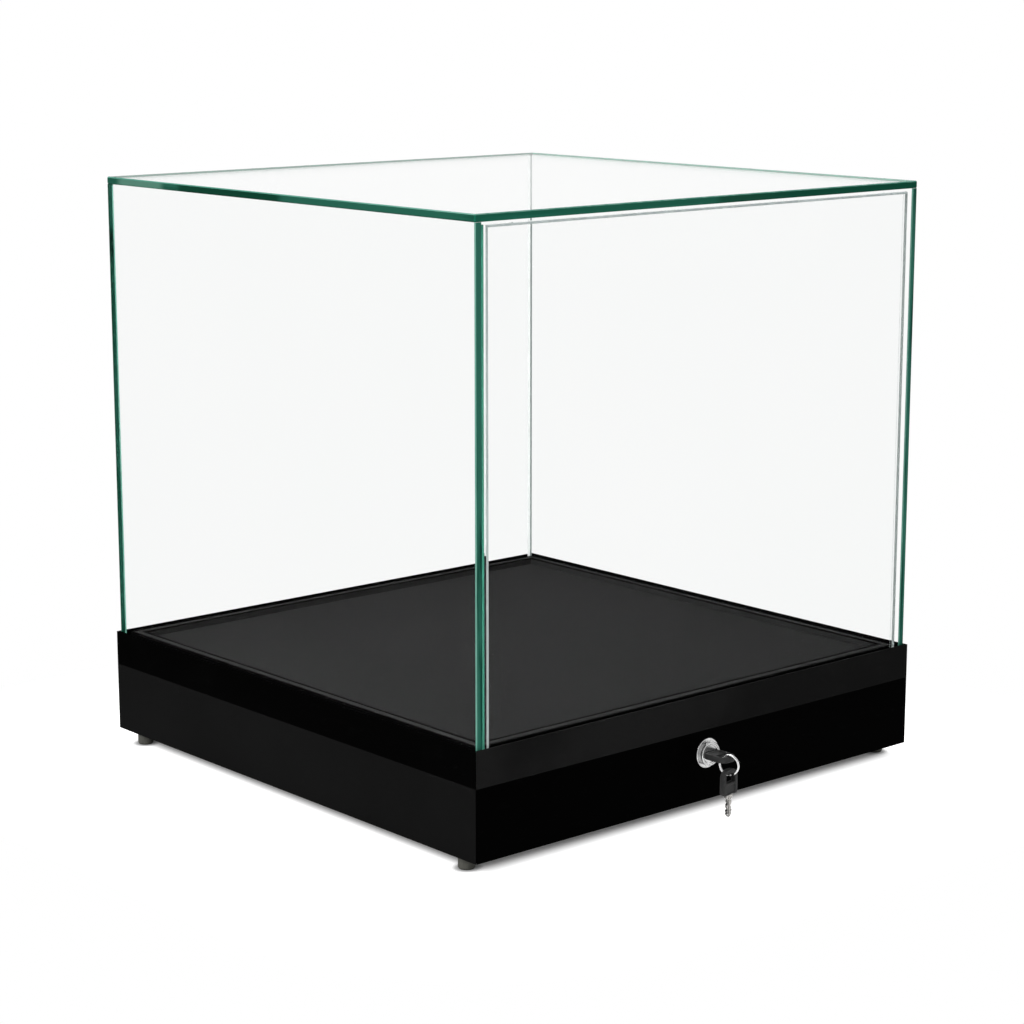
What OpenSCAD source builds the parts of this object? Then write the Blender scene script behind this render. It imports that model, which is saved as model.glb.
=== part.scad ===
// Countertop display case: a glass cube on a black base.
// The deck, the front of the base and the front pane pull out together as one drawer on ball
// slides, and a key lock in the middle of the front holds them shut.
// Millimetres. +Z is up, the front with the lock faces -Y, and the origin is on the countertop
// under the middle of the case.

/* [Case] */
// Width of the base, left to right
case_w = 400; // [340:5:600]
// Depth of the base, front to back
case_d = 400; // [340:5:600]
// Height of the glass above the base
glass_rise = 326; // [200:1:600]

/* [Glass] */
// Thickness of every pane
glass_t = 5; // [4:0.5:8]
// Distance from the outer faces of the base to the outer faces of the glass
glass_inset = 2; // [1.6:0.1:3]
// Gap on each side of the moving front pane
pane_side_gap = 4; // [2:0.5:6]
// Gap between the front pane and the top pane
pane_top_gap = 2; // [1:0.5:5]
// Ground bevel along the edges of a pane
arris = 0.5; // [0.2:0.1:0.8]
// Thickness of the soft liner between glass and rail
liner_t = 0.4; // [0.3:0.1:0.8]

/* [Base panels] */
// Thickness of the side, back and front panels
panel_t = 18; // [16:1:22]
// Height of the side, back and front panels
panel_h = 48; // [46:1:80]
// Thickness of the bottom panel
bottom_t = 6; // [4:1:6]
// Height of the bottom panel above the lower edges of the base
bottom_lift = 4; // [3:1:6]
// Depth of the groove that holds the bottom panel
groove_d = 6; // [4:1:8]
// Seam between the fixed base and the drawer at the mitred front corners
seam = 0.4; // [0.3:0.1:1]

/* [Rails] */
// Height of the aluminium rails that hold the glass
rail_h = 24; // [22:1:34]
// Depth of the glazing slot
slot_depth = 16; // [10:1:17]
// Wall between the glazing slot and the deck
rail_wall = 1.2; // [1:0.1:2]
// Thickness of the web under the glazing slot
rail_web_t = 2; // [1.2:0.1:3]
// Width of the foot that is screwed to the panels
rail_foot_w = 16; // [15:0.5:16]
// Thickness of that foot
rail_foot_t = 2; // [1.6:0.1:2.5]

/* [Deck] */
// Thickness of the deck panel
deck_t = 12; // [9:0.5:14]
// Width of the raised border around the deck
trim_w = 6; // [5:0.5:12]
// Wall thickness of the border profile
trim_wall = 1.5; // [1:0.1:2]
// Depth of the deck surface below the border
deck_drop = 4; // [2:0.5:5]
// Depth of the border below the tops of the rails
trim_drop = 0.5; // [0:0.1:1.5]
// Running gap between the border and the fixed rails
deck_gap = 0.5; // [0.4:0.1:1.2]

/* [Drawer] */
// Thickness of the drawer's side and back boards
board_t = 12; // [10:1:15]
// Space between the drawer boards and the bottom panel
board_lift = 4; // [3:1:6]
// Thickness of the rubber bumpers behind the drawer
bumper_t = 5.7; // [3:0.1:6]
// Distance of the bumpers from the middle of the case
bumper_x = 120; // [60:5:130]
// Leg length of the angle brackets
bracket_leg = 15; // [13:1:18]
// Width of the angle brackets
bracket_w = 12; // [10:1:20]
// Sheet thickness of the angle brackets and the strike
bracket_t = 1.5; // [1.2:0.1:2]
// Distance of the deck brackets from the middle of the drawer
bracket_y = 110; // [60:5:130]

/* [Slides] */
// Height of the ball slides
slide_h = 27; // [27:0.5:29]
// Thickness of the closed ball slides
slide_w = 10; // [10:0.1:12]
// Sheet thickness of the slide members
slide_gauge = 1.2; // [1:0.1:1.3]
// Space between the slides and the bottom panel
slide_lift = 6; // [5:0.5:8]
// Overlap of the two slide members when the drawer is fully open
slide_overlap = 100; // [80:5:120]
// Radius of the slide balls
ball_r = 1.6; // [1.2:0.1:1.7]
// Distance between the slide balls
ball_pitch = 12; // [8:1:16]
// Sheet thickness of the ball cages
cage_t = 0.6; // [0.4:0.1:0.7]

/* [Lock] */
// Height of the lock above the lower edge of the base
lock_rise = 32; // [30:0.5:34]
// Radius of the lock's flange
flange_r = 10.1; // [9.6:0.1:12]
// Radius of the lock's barrel
barrel_r = 8; // [7.5:0.1:8.5]
// Height of the lock's boss in front of the base
boss_h = 4.1; // [3:0.1:5]
// Radius of the turning plug
plug_r = 4.9; // [4.6:0.1:5]
// Reach of the cam from the lock's axis
cam_reach = 18.5; // [17:0.5:19]
// Width of the cam
cam_w = 12; // [11:0.5:14]
// Thickness of the cam
cam_t = 2; // [1.5:0.1:2.5]
// Height of the strike above the bottom panel
strike_h = 9; // [6:0.5:10]

/* [Keys] */
// Width of a key's plastic bow
bow_w = 14.6; // [14:0.2:18]
// Length of a key's plastic bow
bow_l = 17.4; // [17:0.2:18]
// Thickness of a key's plastic bow
bow_t = 3.8; // [3.4:0.1:4.2]
// Width of the bar between the bow's slot and its outer end
bow_bar = 2.8; // [2:0.1:3]
// Width of a key's blade
blade_w = 6.6; // [6:0.1:7.2]
// Length of a key's blade
blade_l = 15.2; // [14.8:0.1:15.6]
// Thickness of a key's blade
blade_t = 1.8; // [1.5:0.1:2]
// Outer diameter of the key ring
ring_d = 14.6; // [14:0.1:14.8]
// Thickness of the ring's wire
ring_wire = 1.1; // [0.9:0.1:1.2]
// Width of one coil of the ring
coil_w = 0.8; // [0.6:0.1:0.9]
// Turn of the hanging ring away from the lock's axis, in degrees
ring_turn = 20; // [10:1:24]
// Turn of the hanging spare key away from the front of the case, in degrees
spare_turn = 6; // [0:1:20]

/* [Feet] */
// Height of the rubber feet
foot_h = 9; // [7:0.5:15]
// Radius of the rubber feet
foot_r = 5.5; // [5:0.1:7]
// Distance of the feet from the front and back of the base
foot_y = 20; // [20:1:60]

/* [Hidden] */
$fn = 64;

// Overshoot of a cutting shape past the face that it cuts
cut = 1;
// Clearance of a screw in its hole, and of other parts that are fitted by hand
fit = 0.1;
// Clearance between moving parts that don't touch
run = 0.3;

// Levels, from the countertop upwards
bottom_top = foot_h + bottom_lift + bottom_t;
panel_top = foot_h + panel_h;
rail_top = panel_top + rail_h;
slot_z = rail_top - slot_depth;
glass_z = slot_z + liner_t;
glass_top = rail_top + glass_rise;
side_pane_top = glass_top - glass_t;
front_pane_top = side_pane_top - pane_top_gap;
border_top = rail_top - trim_drop;
deck_top = border_top - deck_drop;
deck_under = deck_top - deck_t;
slide_z = bottom_top + slide_lift + slide_h / 2;
lock_z = foot_h + lock_rise;

// Widths and depths, from the middle outwards
half_w = case_w / 2;
half_d = case_d / 2;
inner_x = half_w - panel_t;
inner_y = half_d - panel_t;
slot_w = glass_t + 2 * liner_t;
rail_lip = glass_inset - liner_t;
rail_w = rail_lip + slot_w + rail_wall;
pane_x = half_w - glass_inset;
pane_y = half_d - glass_inset;
front_pane_x = pane_x - glass_t - pane_side_gap;
deck_x = half_w - rail_w - deck_gap;
deck_front = -half_d + rail_w;
deck_back = half_d - rail_w - deck_gap;
board_x = inner_x - slide_w;
board_back = inner_y - bumper_t - run;
board_z = bottom_top + board_lift;
bumper_r = 5;
bumper_edge = 1.5;

// Wood screws
screw_r = 1.5;
screw_l = 11;
csk_r = 2.9;
csk_h = 1.8;
pan_r = 2.8;
pan_h = 1.7;
drive_w = 0.6;
drive_l = 2.6;
drive_d = 0.8;
rail_screw_margin = 60;
rail_screw_u = (rail_w + rail_foot_w) / 2;

// Ball slides: the balls run in cupped races at the upper and lower edges of the two members
slide_gap_front = 2;
slide_gap_back = 12;
slide_front = -inner_y + slide_gap_front;
slide_back = inner_y - slide_gap_back;
slide_l = slide_back - slide_front;
slide_mid = (slide_front + slide_back) / 2;
travel = slide_l - slide_overlap;
race_r = ball_r + run;
cup_r = race_r + slide_gauge;
race_x = slide_w - cup_r - slide_gauge;
race_z = slide_h / 2 - cup_r;
lip_gap = cage_t / 2 + 0.2;
cage_x = slide_gauge + 0.4;
cage_margin = 6;
cage_l = slide_overlap - 2 * cage_margin;
ball_count = floor((cage_l - ball_pitch) / ball_pitch) + 1;
stop_h = 8;
stop_t = 1.5;
stop_gap = 0.5;
slide_screw_inset = 20;

// Key lock, on an axis that points out of the front
barrel_end = 4;
body_l = panel_t + barrel_end;
flange_h = 0.9;
boss_r = barrel_r + 0.2;
plug_out = boss_h - 0.4;
plug_fit = 0.08;
collar_r = plug_r + 0.7;
collar_t = 1.5;
groove_r = (boss_r + collar_r) / 2 - 0.3;
groove_w = 0.4;
tab_w = 1.2;
tab_h = 1.5;
tab_out = 0.9;
cam_gap = 0.2;
drive_square = 6;
cam_screw_r = 1.9;
cam_screw_l = 6.5;
cam_head_r = 4;
cam_head_h = 2.2;
nut_t = 3;
nut_flats = 22;
mark_angle = 118;
strike_w = 16;
strike_foot = 18;
strike_gap = 1;

// Keys and ring
key_gap = 0.5;
tang_l = 5;
tang_w = 5;
slot_x = 9.2;
ring_r = (ring_d - ring_wire) / 2;
ring_in = ring_r - ring_wire / 2;
ring_swing = 15;
bar_reach = (bow_bar / 2 + coil_w * sin(ring_turn)) / cos(ring_turn);
key_out = plug_out + key_gap;
ring_y = -half_d - key_out - bow_l + bow_bar / 2;
ring_z = lock_z + bow_t / 2 + run - sqrt(ring_in * ring_in - bar_reach * bar_reach);
slot_drop = lock_z - bow_t / 2 - ring_z;
slot_reach = sqrt(pow(ring_r + ring_wire / 2, 2) - slot_drop * slot_drop);
slot_lean = (ring_r - slot_drop) * sin(ring_turn) * sin(ring_swing);
slot_y = slot_reach * cos(ring_turn) + coil_w * sin(ring_turn) + slot_lean - bow_bar / 2 + run;
spare_skew = ring_turn - spare_turn;
spare_reach = (bow_t / 2 + coil_w * sin(spare_skew)) / cos(spare_skew);
spare_edge_z = ring_z - sqrt(ring_in * ring_in - spare_reach * spare_reach) + run;
coil_bevel = 0.25;
coil_end_gap = 1.4;
coil_bridge = 0.8;
bow_corner = 5.5;
bow_shoulder = 1.8;
recess_x = 9;
recess_d = 0.5;
key_cuts = [1.2, 0.6, 1.4, 0.9];
cut_pitch = 2;
first_cut = 3.6;
leaf_l = 4;

// Feet
foot_x = panel_t / 2;
foot_taper = 0.4;
foot_bore_r = pan_r + 0.4;
foot_floor = 4.5;

// Shared building blocks

// A bar with its outer face on y = 0 and 45 degree mitres at both ends. Its section grows
// inwards along +y, and low and high shorten its two ends along x.
module mitred_bar(length, depth, height, low = 0, high = 0) {
    intersection() {
        translate([-length / 2, 0, 0])
            rotate([90, 0, 90])
                linear_extrude(length)
                    children();
        linear_extrude(height)
            polygon([
                [-length / 2 + low, 0],
                [length / 2 - high, 0],
                [length / 2 - high - depth, depth],
                [-length / 2 + low + depth, depth]
            ]);
    }
}

// Places for a bar along each side of the base, at the level of z
module at_front(z) { translate([0, -half_d, z]) children(); }
module at_back(z) { translate([0, half_d, z]) rotate([0, 0, 180]) children(); }
module at_right(z) { translate([half_w, 0, z]) rotate([0, 0, 90]) children(); }
module at_left(z) { translate([-half_w, 0, z]) rotate([0, 0, -90]) children(); }

// A pane of glass between two corners, with a ground bevel along every edge
module pane(low, high) {
    size = high - low;
    translate(low)
        intersection() {
            linear_extrude(size.z)
                bevelled_rectangle(size.x, size.y);
            translate([0, size.y, 0])
                rotate([90, 0, 0])
                    linear_extrude(size.y)
                        bevelled_rectangle(size.x, size.z);
            rotate([90, 0, 90])
                linear_extrude(size.x)
                    bevelled_rectangle(size.y, size.z);
        }
}

module bevelled_rectangle(w, h) {
    polygon([
        [arris, 0], [w - arris, 0], [w, arris], [w, h - arris],
        [w - arris, h], [arris, h], [0, h - arris], [0, arris]
    ]);
}

// A countersunk wood screw that points down from z = 0. With grow it is the hole for one.
module csk_screw(grow = 0) {
    difference() {
        rotate_extrude()
            polygon([
                [0, grow],
                [csk_r + grow, grow],
                [csk_r + grow, 0],
                [screw_r + grow, -csk_h],
                [screw_r + grow, -screw_l + screw_r],
                [0, -screw_l - grow]
            ]);
        if (grow == 0) cross_drive();
    }
}

// A pan head wood screw that points down, with its head standing on z = 0
module pan_screw() {
    difference() {
        rotate_extrude()
            polygon([
                [0, pan_h],
                [pan_r * 0.6, pan_h],
                [pan_r, pan_h * 0.4],
                [pan_r, 0],
                [screw_r, 0],
                [screw_r, -screw_l + screw_r],
                [0, -screw_l]
            ]);
        translate([0, 0, pan_h]) cross_drive();
    }
}

module pan_screw_hole() {
    translate([0, 0, -screw_l - fit])
        cylinder(r = screw_r + fit, h = screw_l + fit + cut);
}

module cross_drive() {
    for (turn = [0, 90])
        rotate([0, 0, turn])
            translate([-drive_l / 2, -drive_w / 2, -drive_d])
                cube([drive_l, drive_w, drive_d + cut]);
}

// Base panels

module panel_section(grooved) {
    difference() {
        square([panel_t, panel_h]);
        if (grooved)
            translate([panel_t - groove_d, bottom_lift])
                square([groove_d + cut, bottom_t]);
    }
}

module side_panel(low, high) {
    mitred_bar(case_d, panel_t, panel_h, low, high) panel_section(true);
}

module side_panel_left() {
    color("#171717") difference() {
        at_left(foot_h) side_panel(0, seam);
        at_left(panel_top) rail_screw_holes(case_d);
        at_slides(-1) slide_outer_screw_cuts();
        foot_screw_places() pan_screw_hole();
    }
}

module side_panel_right() {
    color("#171717") difference() {
        at_right(foot_h) side_panel(seam, 0);
        at_right(panel_top) rail_screw_holes(case_d);
        at_slides(1) slide_outer_screw_cuts();
        foot_screw_places() pan_screw_hole();
    }
}

module back_panel() {
    color("#171717") difference() {
        at_back(foot_h) mitred_bar(case_w, panel_t, panel_h) panel_section(true);
        at_back(panel_top) rail_screw_holes(case_w);
    }
}

module bottom_panel() {
    reach_x = inner_x + groove_d - run;
    reach_y = inner_y + groove_d - run;
    front = -inner_y + strike_gap / 2;
    color("#2b2623") difference() {
        translate([-reach_x, front, foot_h + bottom_lift])
            cube([2 * reach_x, reach_y - front, bottom_t]);
        strike_screw_places() csk_screw(fit);
    }
}

module corner_blocks() {
    leg = slide_gap_back - 1;
    color("#8a6a45")
        for (side = [-1, 1])
            translate([side * inner_x, inner_y, bottom_top])
                linear_extrude(panel_top - bottom_top)
                    polygon([[0, 0], [-side * leg, 0], [0, -leg]]);
}

// Aluminium rails

module rail_section() {
    chamber = rail_h - slot_depth - rail_web_t - rail_foot_t;
    difference() {
        union() {
            square([rail_w, rail_h]);
            square([rail_foot_w, rail_foot_t]);
        }
        translate([rail_lip, rail_h - slot_depth])
            square([slot_w, slot_depth + cut]);
        translate([rail_lip, rail_foot_t])
            square([slot_w, chamber]);
    }
}

module rail(length, low = 0, high = 0) {
    difference() {
        mitred_bar(length, rail_foot_w, rail_h, low, high) rail_section();
        translate([0, 0, rail_foot_t]) rail_screw_places(length) csk_screw(fit);
    }
}

// Four screws along the foot of a rail, none of them in line with the lock
module rail_screw_places(length) {
    reach = length / 2 - rail_screw_margin;
    for (step = [-3, -1, 1, 3])
        translate([step * reach / 3, rail_screw_u, 0])
            children();
}

module rail_screw_holes(length) {
    translate([0, 0, rail_foot_t]) rail_screw_places(length) csk_screw(fit);
}

module rail_left() { color("#101010") at_left(panel_top) rail(case_d, 0, seam); }
module rail_right() { color("#101010") at_right(panel_top) rail(case_d, seam, 0); }
module rail_back() { color("#101010") at_back(panel_top) rail(case_w); }

module rail_screws() {
    level = panel_top + rail_foot_t;
    color("#b8bcc0") {
        at_left(level) rail_screw_places(case_d) csk_screw();
        at_right(level) rail_screw_places(case_d) csk_screw();
        at_back(level) rail_screw_places(case_w) csk_screw();
    }
}

// Soft liner: a thin U around the foot of a pane, along x, with the pane centred on y = 0
module liner(length) {
    translate([-length / 2, -slot_w / 2, slot_z])
        difference() {
            cube([length, slot_w, slot_depth - trim_drop]);
            translate([-cut, liner_t, liner_t])
                cube([length + 2 * cut, glass_t, slot_depth]);
        }
}

module glazing_strip() {
    middle = glass_t / 2;
    side_l = deck_back + deck_gap - deck_front;
    back_l = 2 * (pane_x - glass_t - 2 * liner_t);
    color("#050505") {
        for (side = [-1, 1])
            translate([side * (pane_x - middle), 0, 0])
                rotate([0, 0, 90])
                    liner(side_l);
        translate([0, pane_y - middle, 0])
            liner(back_l);
    }
}

// Glass

module glass_left() {
    color("#cfe9df", 0.35)
        pane([-pane_x, -pane_y, glass_z], [-pane_x + glass_t, pane_y, side_pane_top]);
}

module glass_right() {
    color("#cfe9df", 0.35)
        pane([pane_x - glass_t, -pane_y, glass_z], [pane_x, pane_y, side_pane_top]);
}

module glass_back() {
    color("#cfe9df", 0.35)
        pane(
            [-pane_x + glass_t, pane_y - glass_t, glass_z],
            [pane_x - glass_t, pane_y, side_pane_top]
        );
}

module glass_top() {
    color("#cfe9df", 0.35)
        pane([-pane_x, -pane_y, side_pane_top], [pane_x, pane_y, glass_top]);
}

module glass_front() {
    color("#cfe9df", 0.35)
        pane(
            [-front_pane_x, -pane_y, glass_z],
            [front_pane_x, -pane_y + glass_t, front_pane_top]
        );
}

// Ball slides. A slide's section has its closed side on x = 0, against the base, and its open
// side on x = slide_w, against the drawer.

// Frame of a slide: side is -1 on the left and 1 on the right
module at_slides(side) {
    translate([side * inner_x, slide_mid, slide_z])
        mirror([side > 0 ? 1 : 0, 0, 0])
            children();
}

module along_slide(length) {
    rotate([90, 0, 0])
        linear_extrude(length, center = true)
            children();
}

module race_cup() {
    difference() {
        circle(r = cup_r);
        circle(r = race_r);
    }
}

module slide_outer() {
    difference() {
        union() {
            along_slide(slide_l)
                for (flip = [0, 1])
                    mirror([0, flip])
                        outer_half();
            translate([0, -slide_l / 2 + cage_margin - stop_gap - stop_t, -stop_h / 2])
                cube([cage_x + cage_t + fit, stop_t, stop_h]);
        }
        slide_outer_screw_cuts();
    }
}

// Upper half of the outer member: web, flange and the upper half of the race cup
module outer_half() {
    square([slide_gauge, slide_h / 2]);
    translate([0, slide_h / 2 - slide_gauge])
        square([race_x, slide_gauge]);
    translate([race_x, race_z])
        intersection() {
            race_cup();
            translate([-cup_r, lip_gap]) square(2 * cup_r);
        }
}

// Upper half of the inner member: web, flange and the lower half of the race cup
module inner_half() {
    translate([slide_w - slide_gauge, 0])
        square([slide_gauge, race_z - race_r]);
    translate([race_x, race_z - cup_r])
        square([slide_w - race_x, slide_gauge]);
    translate([race_x, race_z])
        intersection() {
            race_cup();
            translate([-cup_r, -lip_gap - 2 * cup_r]) square(2 * cup_r);
        }
}

module slide_inner() {
    tab_x = cage_x + fit;
    difference() {
        union() {
            along_slide(slide_l)
                for (flip = [0, 1])
                    mirror([0, flip])
                        inner_half();
            translate([tab_x, slide_l / 2 - cage_margin + stop_gap, -stop_h / 2])
                cube([slide_w - tab_x, stop_t, stop_h]);
        }
        slide_inner_screw_places() pan_screw_hole();
    }
}

module slide_screw_steps() {
    for (step = [-1, 0, 1])
        translate([0, step * (slide_l / 2 - slide_screw_inset), 0])
            children();
}

module slide_outer_screw_cuts() {
    slide_screw_steps()
        translate([slide_gauge, 0, 0])
            rotate([0, 90, 0])
                csk_screw(fit);
}

module slide_inner_screw_places() {
    slide_screw_steps()
        translate([slide_w - slide_gauge, 0, 0])
            rotate([0, -90, 0])
                children();
}

module slide_outer_left() { color("#9aa0a6") at_slides(-1) slide_outer(); }
module slide_outer_right() { color("#9aa0a6") at_slides(1) slide_outer(); }
module slide_inner_left() { color("#b4bac0") at_slides(-1) slide_inner(); }
module slide_inner_right() { color("#b4bac0") at_slides(1) slide_inner(); }

module slide_outer_screws() {
    color("#b8bcc0")
        for (side = [-1, 1])
            at_slides(side)
                slide_screw_steps()
                    translate([slide_gauge, 0, 0])
                        rotate([0, 90, 0])
                            csk_screw();
}

module slide_inner_screws() {
    color("#b8bcc0")
        for (side = [-1, 1])
            at_slides(side)
                slide_inner_screw_places() pan_screw();
}

// A cage is a thin channel with a pocket for each ball
module ball_cage() {
    reach_x = race_x + cup_r - run;
    color("#c8ccd0") difference() {
        along_slide(cage_l)
            difference() {
                translate([cage_x, -race_z - cage_t / 2])
                    square([reach_x - cage_x, 2 * race_z + cage_t]);
                translate([cage_x + cage_t, -race_z + cage_t / 2])
                    square([slide_w, 2 * race_z - cage_t]);
            }
        ball_places() cylinder(r = ball_r + fit / 2, h = cage_t + 2 * cut, center = true);
    }
}

module ball_places() {
    for (step = [0 : ball_count - 1])
        for (level = [-1, 1])
            translate([race_x, (step - (ball_count - 1) / 2) * ball_pitch, level * race_z])
                children();
}

module ball_cage_left() { at_slides(-1) ball_cage(); }
module ball_cage_right() { at_slides(1) ball_cage(); }

module slide_balls() {
    color("#dfe3e6")
        for (side = [-1, 1])
            at_slides(side)
                ball_places() sphere(r = ball_r);
}

// Drawer

module drawer_front() {
    color("#171717") difference() {
        at_front(foot_h) mitred_bar(case_w, panel_t, panel_h) panel_section(false);
        at_front(panel_top) rail_screw_holes(case_w);
        at_lock() translate([0, 0, -panel_t - cut]) cylinder(r = barrel_r + fit, h = panel_t + 2 * cut);
        bracket_screw_places() pan_screw_hole();
    }
}

module front_rail() { color("#101010") at_front(panel_top) rail(case_w); }

module front_rail_screws() {
    color("#b8bcc0")
        at_front(panel_top + rail_foot_t)
            rail_screw_places(case_w)
                csk_screw();
}

module front_glazing_strip() {
    color("#050505")
        translate([0, -pane_y + glass_t / 2, 0])
            liner(2 * front_pane_x);
}

module drawer_side(side) {
    color("#a58c68") difference() {
        translate([side * (board_x - board_t / 2) - board_t / 2, -inner_y, board_z])
            cube([board_t, inner_y + board_back - board_t, deck_under - board_z]);
        at_slides(side) slide_inner_screw_places() pan_screw_hole();
        drawer_back_screw_places() csk_screw(fit);
        bracket_screw_places() pan_screw_hole();
    }
}

module drawer_side_left() { drawer_side(-1); }
module drawer_side_right() { drawer_side(1); }

module drawer_back() {
    color("#a58c68") difference() {
        translate([-board_x, board_back - board_t, board_z])
            cube([2 * board_x, board_t, deck_under - board_z]);
        drawer_back_screw_places() csk_screw(fit);
    }
}

// Two screws at each end of the drawer's back board, into the ends of the side boards
module drawer_back_screw_places() {
    height = deck_under - board_z;
    for (side = [-1, 1])
        for (part = [0.25, 0.75])
            translate([side * (board_x - board_t / 2), board_back - board_t / 2, board_z + part * height])
                rotate([-90, 0, 0])
                    children();
}

module drawer_back_screws() { color("#b8bcc0") drawer_back_screw_places() csk_screw(); }

module rear_bumpers() {
    color("#3a3a38")
        for (side = [-1, 1])
            translate([side * bumper_x, inner_y, slide_z])
                rotate([90, 0, 0])
                    rotate_extrude()
                        polygon([
                            [0, 0],
                            [bumper_r, 0],
                            [bumper_r, bumper_t - bumper_edge],
                            [bumper_r - bumper_edge, bumper_t],
                            [0, bumper_t]
                        ]);
}

// Deck: a panel held all round in a hollow border

module deck_panel() {
    reach_x = deck_x - trim_wall - fit;
    front = deck_front + trim_wall + fit;
    back = deck_back - trim_wall - fit;
    color("#353535") difference() {
        translate([-reach_x, front, deck_under])
            cube([2 * reach_x, back - front, deck_t]);
        bracket_screw_places() pan_screw_hole();
    }
}

module border_section() {
    height = border_top - deck_under + trim_wall;
    difference() {
        square([trim_w, height]);
        translate([trim_wall, trim_wall])
            square([trim_w, deck_t]);
        translate([trim_wall, trim_wall + deck_t - cut])
            square([trim_w - 2 * trim_wall, deck_drop - trim_wall + cut]);
    }
}

module deck_border() {
    level = deck_under - trim_wall;
    height = border_top - level;
    length = deck_back - deck_front;
    middle = (deck_back + deck_front) / 2;
    color("#38383a") translate([0, 0, level]) {
        translate([0, deck_front, 0])
            mitred_bar(2 * deck_x, trim_w, height) border_section();
        translate([0, deck_back, 0])
            rotate([0, 0, 180])
                mitred_bar(2 * deck_x, trim_w, height) border_section();
        translate([deck_x, middle, 0])
            rotate([0, 0, 90])
                mitred_bar(length, trim_w, height) border_section();
        translate([-deck_x, middle, 0])
            rotate([0, 0, -90])
                mitred_bar(length, trim_w, height) border_section();
    }
}

// Angle brackets. One sits in the corner of a wall on x = 0 and a ceiling on z = 0.

module bracket_places() {
    wall_x = board_x - board_t;
    for (flip = [0, 1])
        mirror([flip, 0, 0]) {
            for (side = [-1, 1])
                translate([-wall_x, side * bracket_y, deck_under])
                    children();
            translate([-wall_x, -inner_y, slide_z])
                rotate([90, 0, 0])
                    children();
        }
}

module bracket_screw_places() {
    hole = bracket_leg * 0.6;
    bracket_places() {
        translate([hole, 0, -bracket_t]) rotate([180, 0, 0]) children();
        translate([bracket_t, 0, -hole]) rotate([0, 90, 0]) children();
    }
}

module angle_brackets() {
    color("#b8bcc0") difference() {
        bracket_places() {
            translate([0, -bracket_w / 2, -bracket_t])
                cube([bracket_leg, bracket_w, bracket_t]);
            translate([0, -bracket_w / 2, -bracket_leg])
                cube([bracket_t, bracket_w, bracket_leg]);
        }
        bracket_screw_places() pan_screw_hole();
    }
}

module bracket_screws() { color("#b8bcc0") bracket_screw_places() pan_screw(); }

// Lock. In the lock's frame z points out of the front, y points up and z = 0 is the front face.

module at_lock() {
    translate([0, -half_d, lock_z])
        rotate([90, 0, 0])
            children();
}

module lock_housing() {
    bore = plug_r + plug_fit;
    seat_bore = collar_r + plug_fit;
    seat = plug_out - collar_t;
    color("#c9ccd0") at_lock() {
        rotate_extrude()
            polygon([
                [bore, -body_l],
                [barrel_r - 0.5, -body_l],
                [barrel_r, -body_l + 0.5],
                [barrel_r, 0],
                [flange_r, 0],
                [flange_r, flange_h - 0.3],
                [flange_r - 0.3, flange_h],
                [boss_r, flange_h],
                [boss_r, boss_h - 0.5],
                [boss_r - 0.5, boss_h],
                [groove_r + groove_w, boss_h],
                [groove_r + groove_w, boss_h - groove_w],
                [groove_r, boss_h - groove_w],
                [groove_r, boss_h],
                [seat_bore, boss_h],
                [seat_bore, seat],
                [bore, seat]
            ]);
        rotate([0, 0, mark_angle])
            translate([boss_r - 0.5, -tab_w / 2, boss_h - 0.7 - tab_h])
                cube([tab_out + 0.5, tab_w, tab_h]);
    }
}

module lock_nut() {
    color("#c0b58a") at_lock()
        translate([0, 0, -panel_t - nut_t])
            difference() {
                cylinder(r = nut_flats / 2 / cos(30), h = nut_t, $fn = 6);
                translate([0, 0, -cut]) cylinder(r = barrel_r + fit, h = nut_t + 2 * cut);
            }
}

module lock_plug() {
    keyway_w = blade_w + 0.4;
    keyway_h = blade_t + 0.4;
    keyway_l = blade_l + key_gap;
    rear = body_l + cam_gap;
    color("#b9bdc2") at_lock() difference() {
        union() {
            translate([0, 0, -rear]) cylinder(r = plug_r, h = rear + plug_out - cut);
            translate([0, 0, plug_out - collar_t]) cylinder(r = collar_r, h = collar_t);
            translate([-drive_square / 2, -drive_square / 2, -rear - cam_t])
                cube([drive_square, drive_square, cam_t + cut]);
        }
        translate([-keyway_w / 2, -keyway_h / 2, plug_out - keyway_l])
            cube([keyway_w, keyway_h, keyway_l + cut]);
        translate([0, 0, -rear - cam_t - cut])
            cylinder(r = cam_screw_r + fit, h = cam_screw_l + cut + fit);
    }
}

// The cam points to the right at rest, which is open, and down when the key is turned
module lock_cam() {
    hole = drive_square + fit;
    color("#c0b58a") at_lock()
        translate([0, 0, -body_l - cam_gap - cam_t])
            linear_extrude(cam_t)
                difference() {
                    union() {
                        circle(r = barrel_r);
                        translate([0, -cam_w / 2]) square([cam_reach - cam_w / 2, cam_w]);
                        translate([cam_reach - cam_w / 2, 0]) circle(r = cam_w / 2);
                    }
                    square(hole, center = true);
                }
}

module cam_screw() {
    seat = -body_l - cam_gap - cam_t;
    color("#b8bcc0") at_lock()
        translate([0, 0, seat])
            rotate([180, 0, 0])
                difference() {
                    rotate_extrude()
                        polygon([
                            [0, cam_head_h],
                            [cam_head_r * 0.6, cam_head_h],
                            [cam_head_r, cam_head_h * 0.5],
                            [cam_head_r, 0],
                            [cam_screw_r, 0],
                            [cam_screw_r, -cam_screw_l],
                            [0, -cam_screw_l]
                        ]);
                    translate([0, 0, cam_head_h]) cross_drive();
                }
}

// The strike stands on the bottom panel, in front of the turned cam
module strike_place() {
    cam_front = -half_d + body_l + cam_gap;
    translate([0, cam_front - strike_gap - bracket_t, bottom_top])
        children();
}

module strike_screw_places() {
    strike_place()
        for (side = [-1, 1])
            translate([side * strike_w / 4, strike_foot * 0.65, bracket_t])
                children();
}

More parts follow.
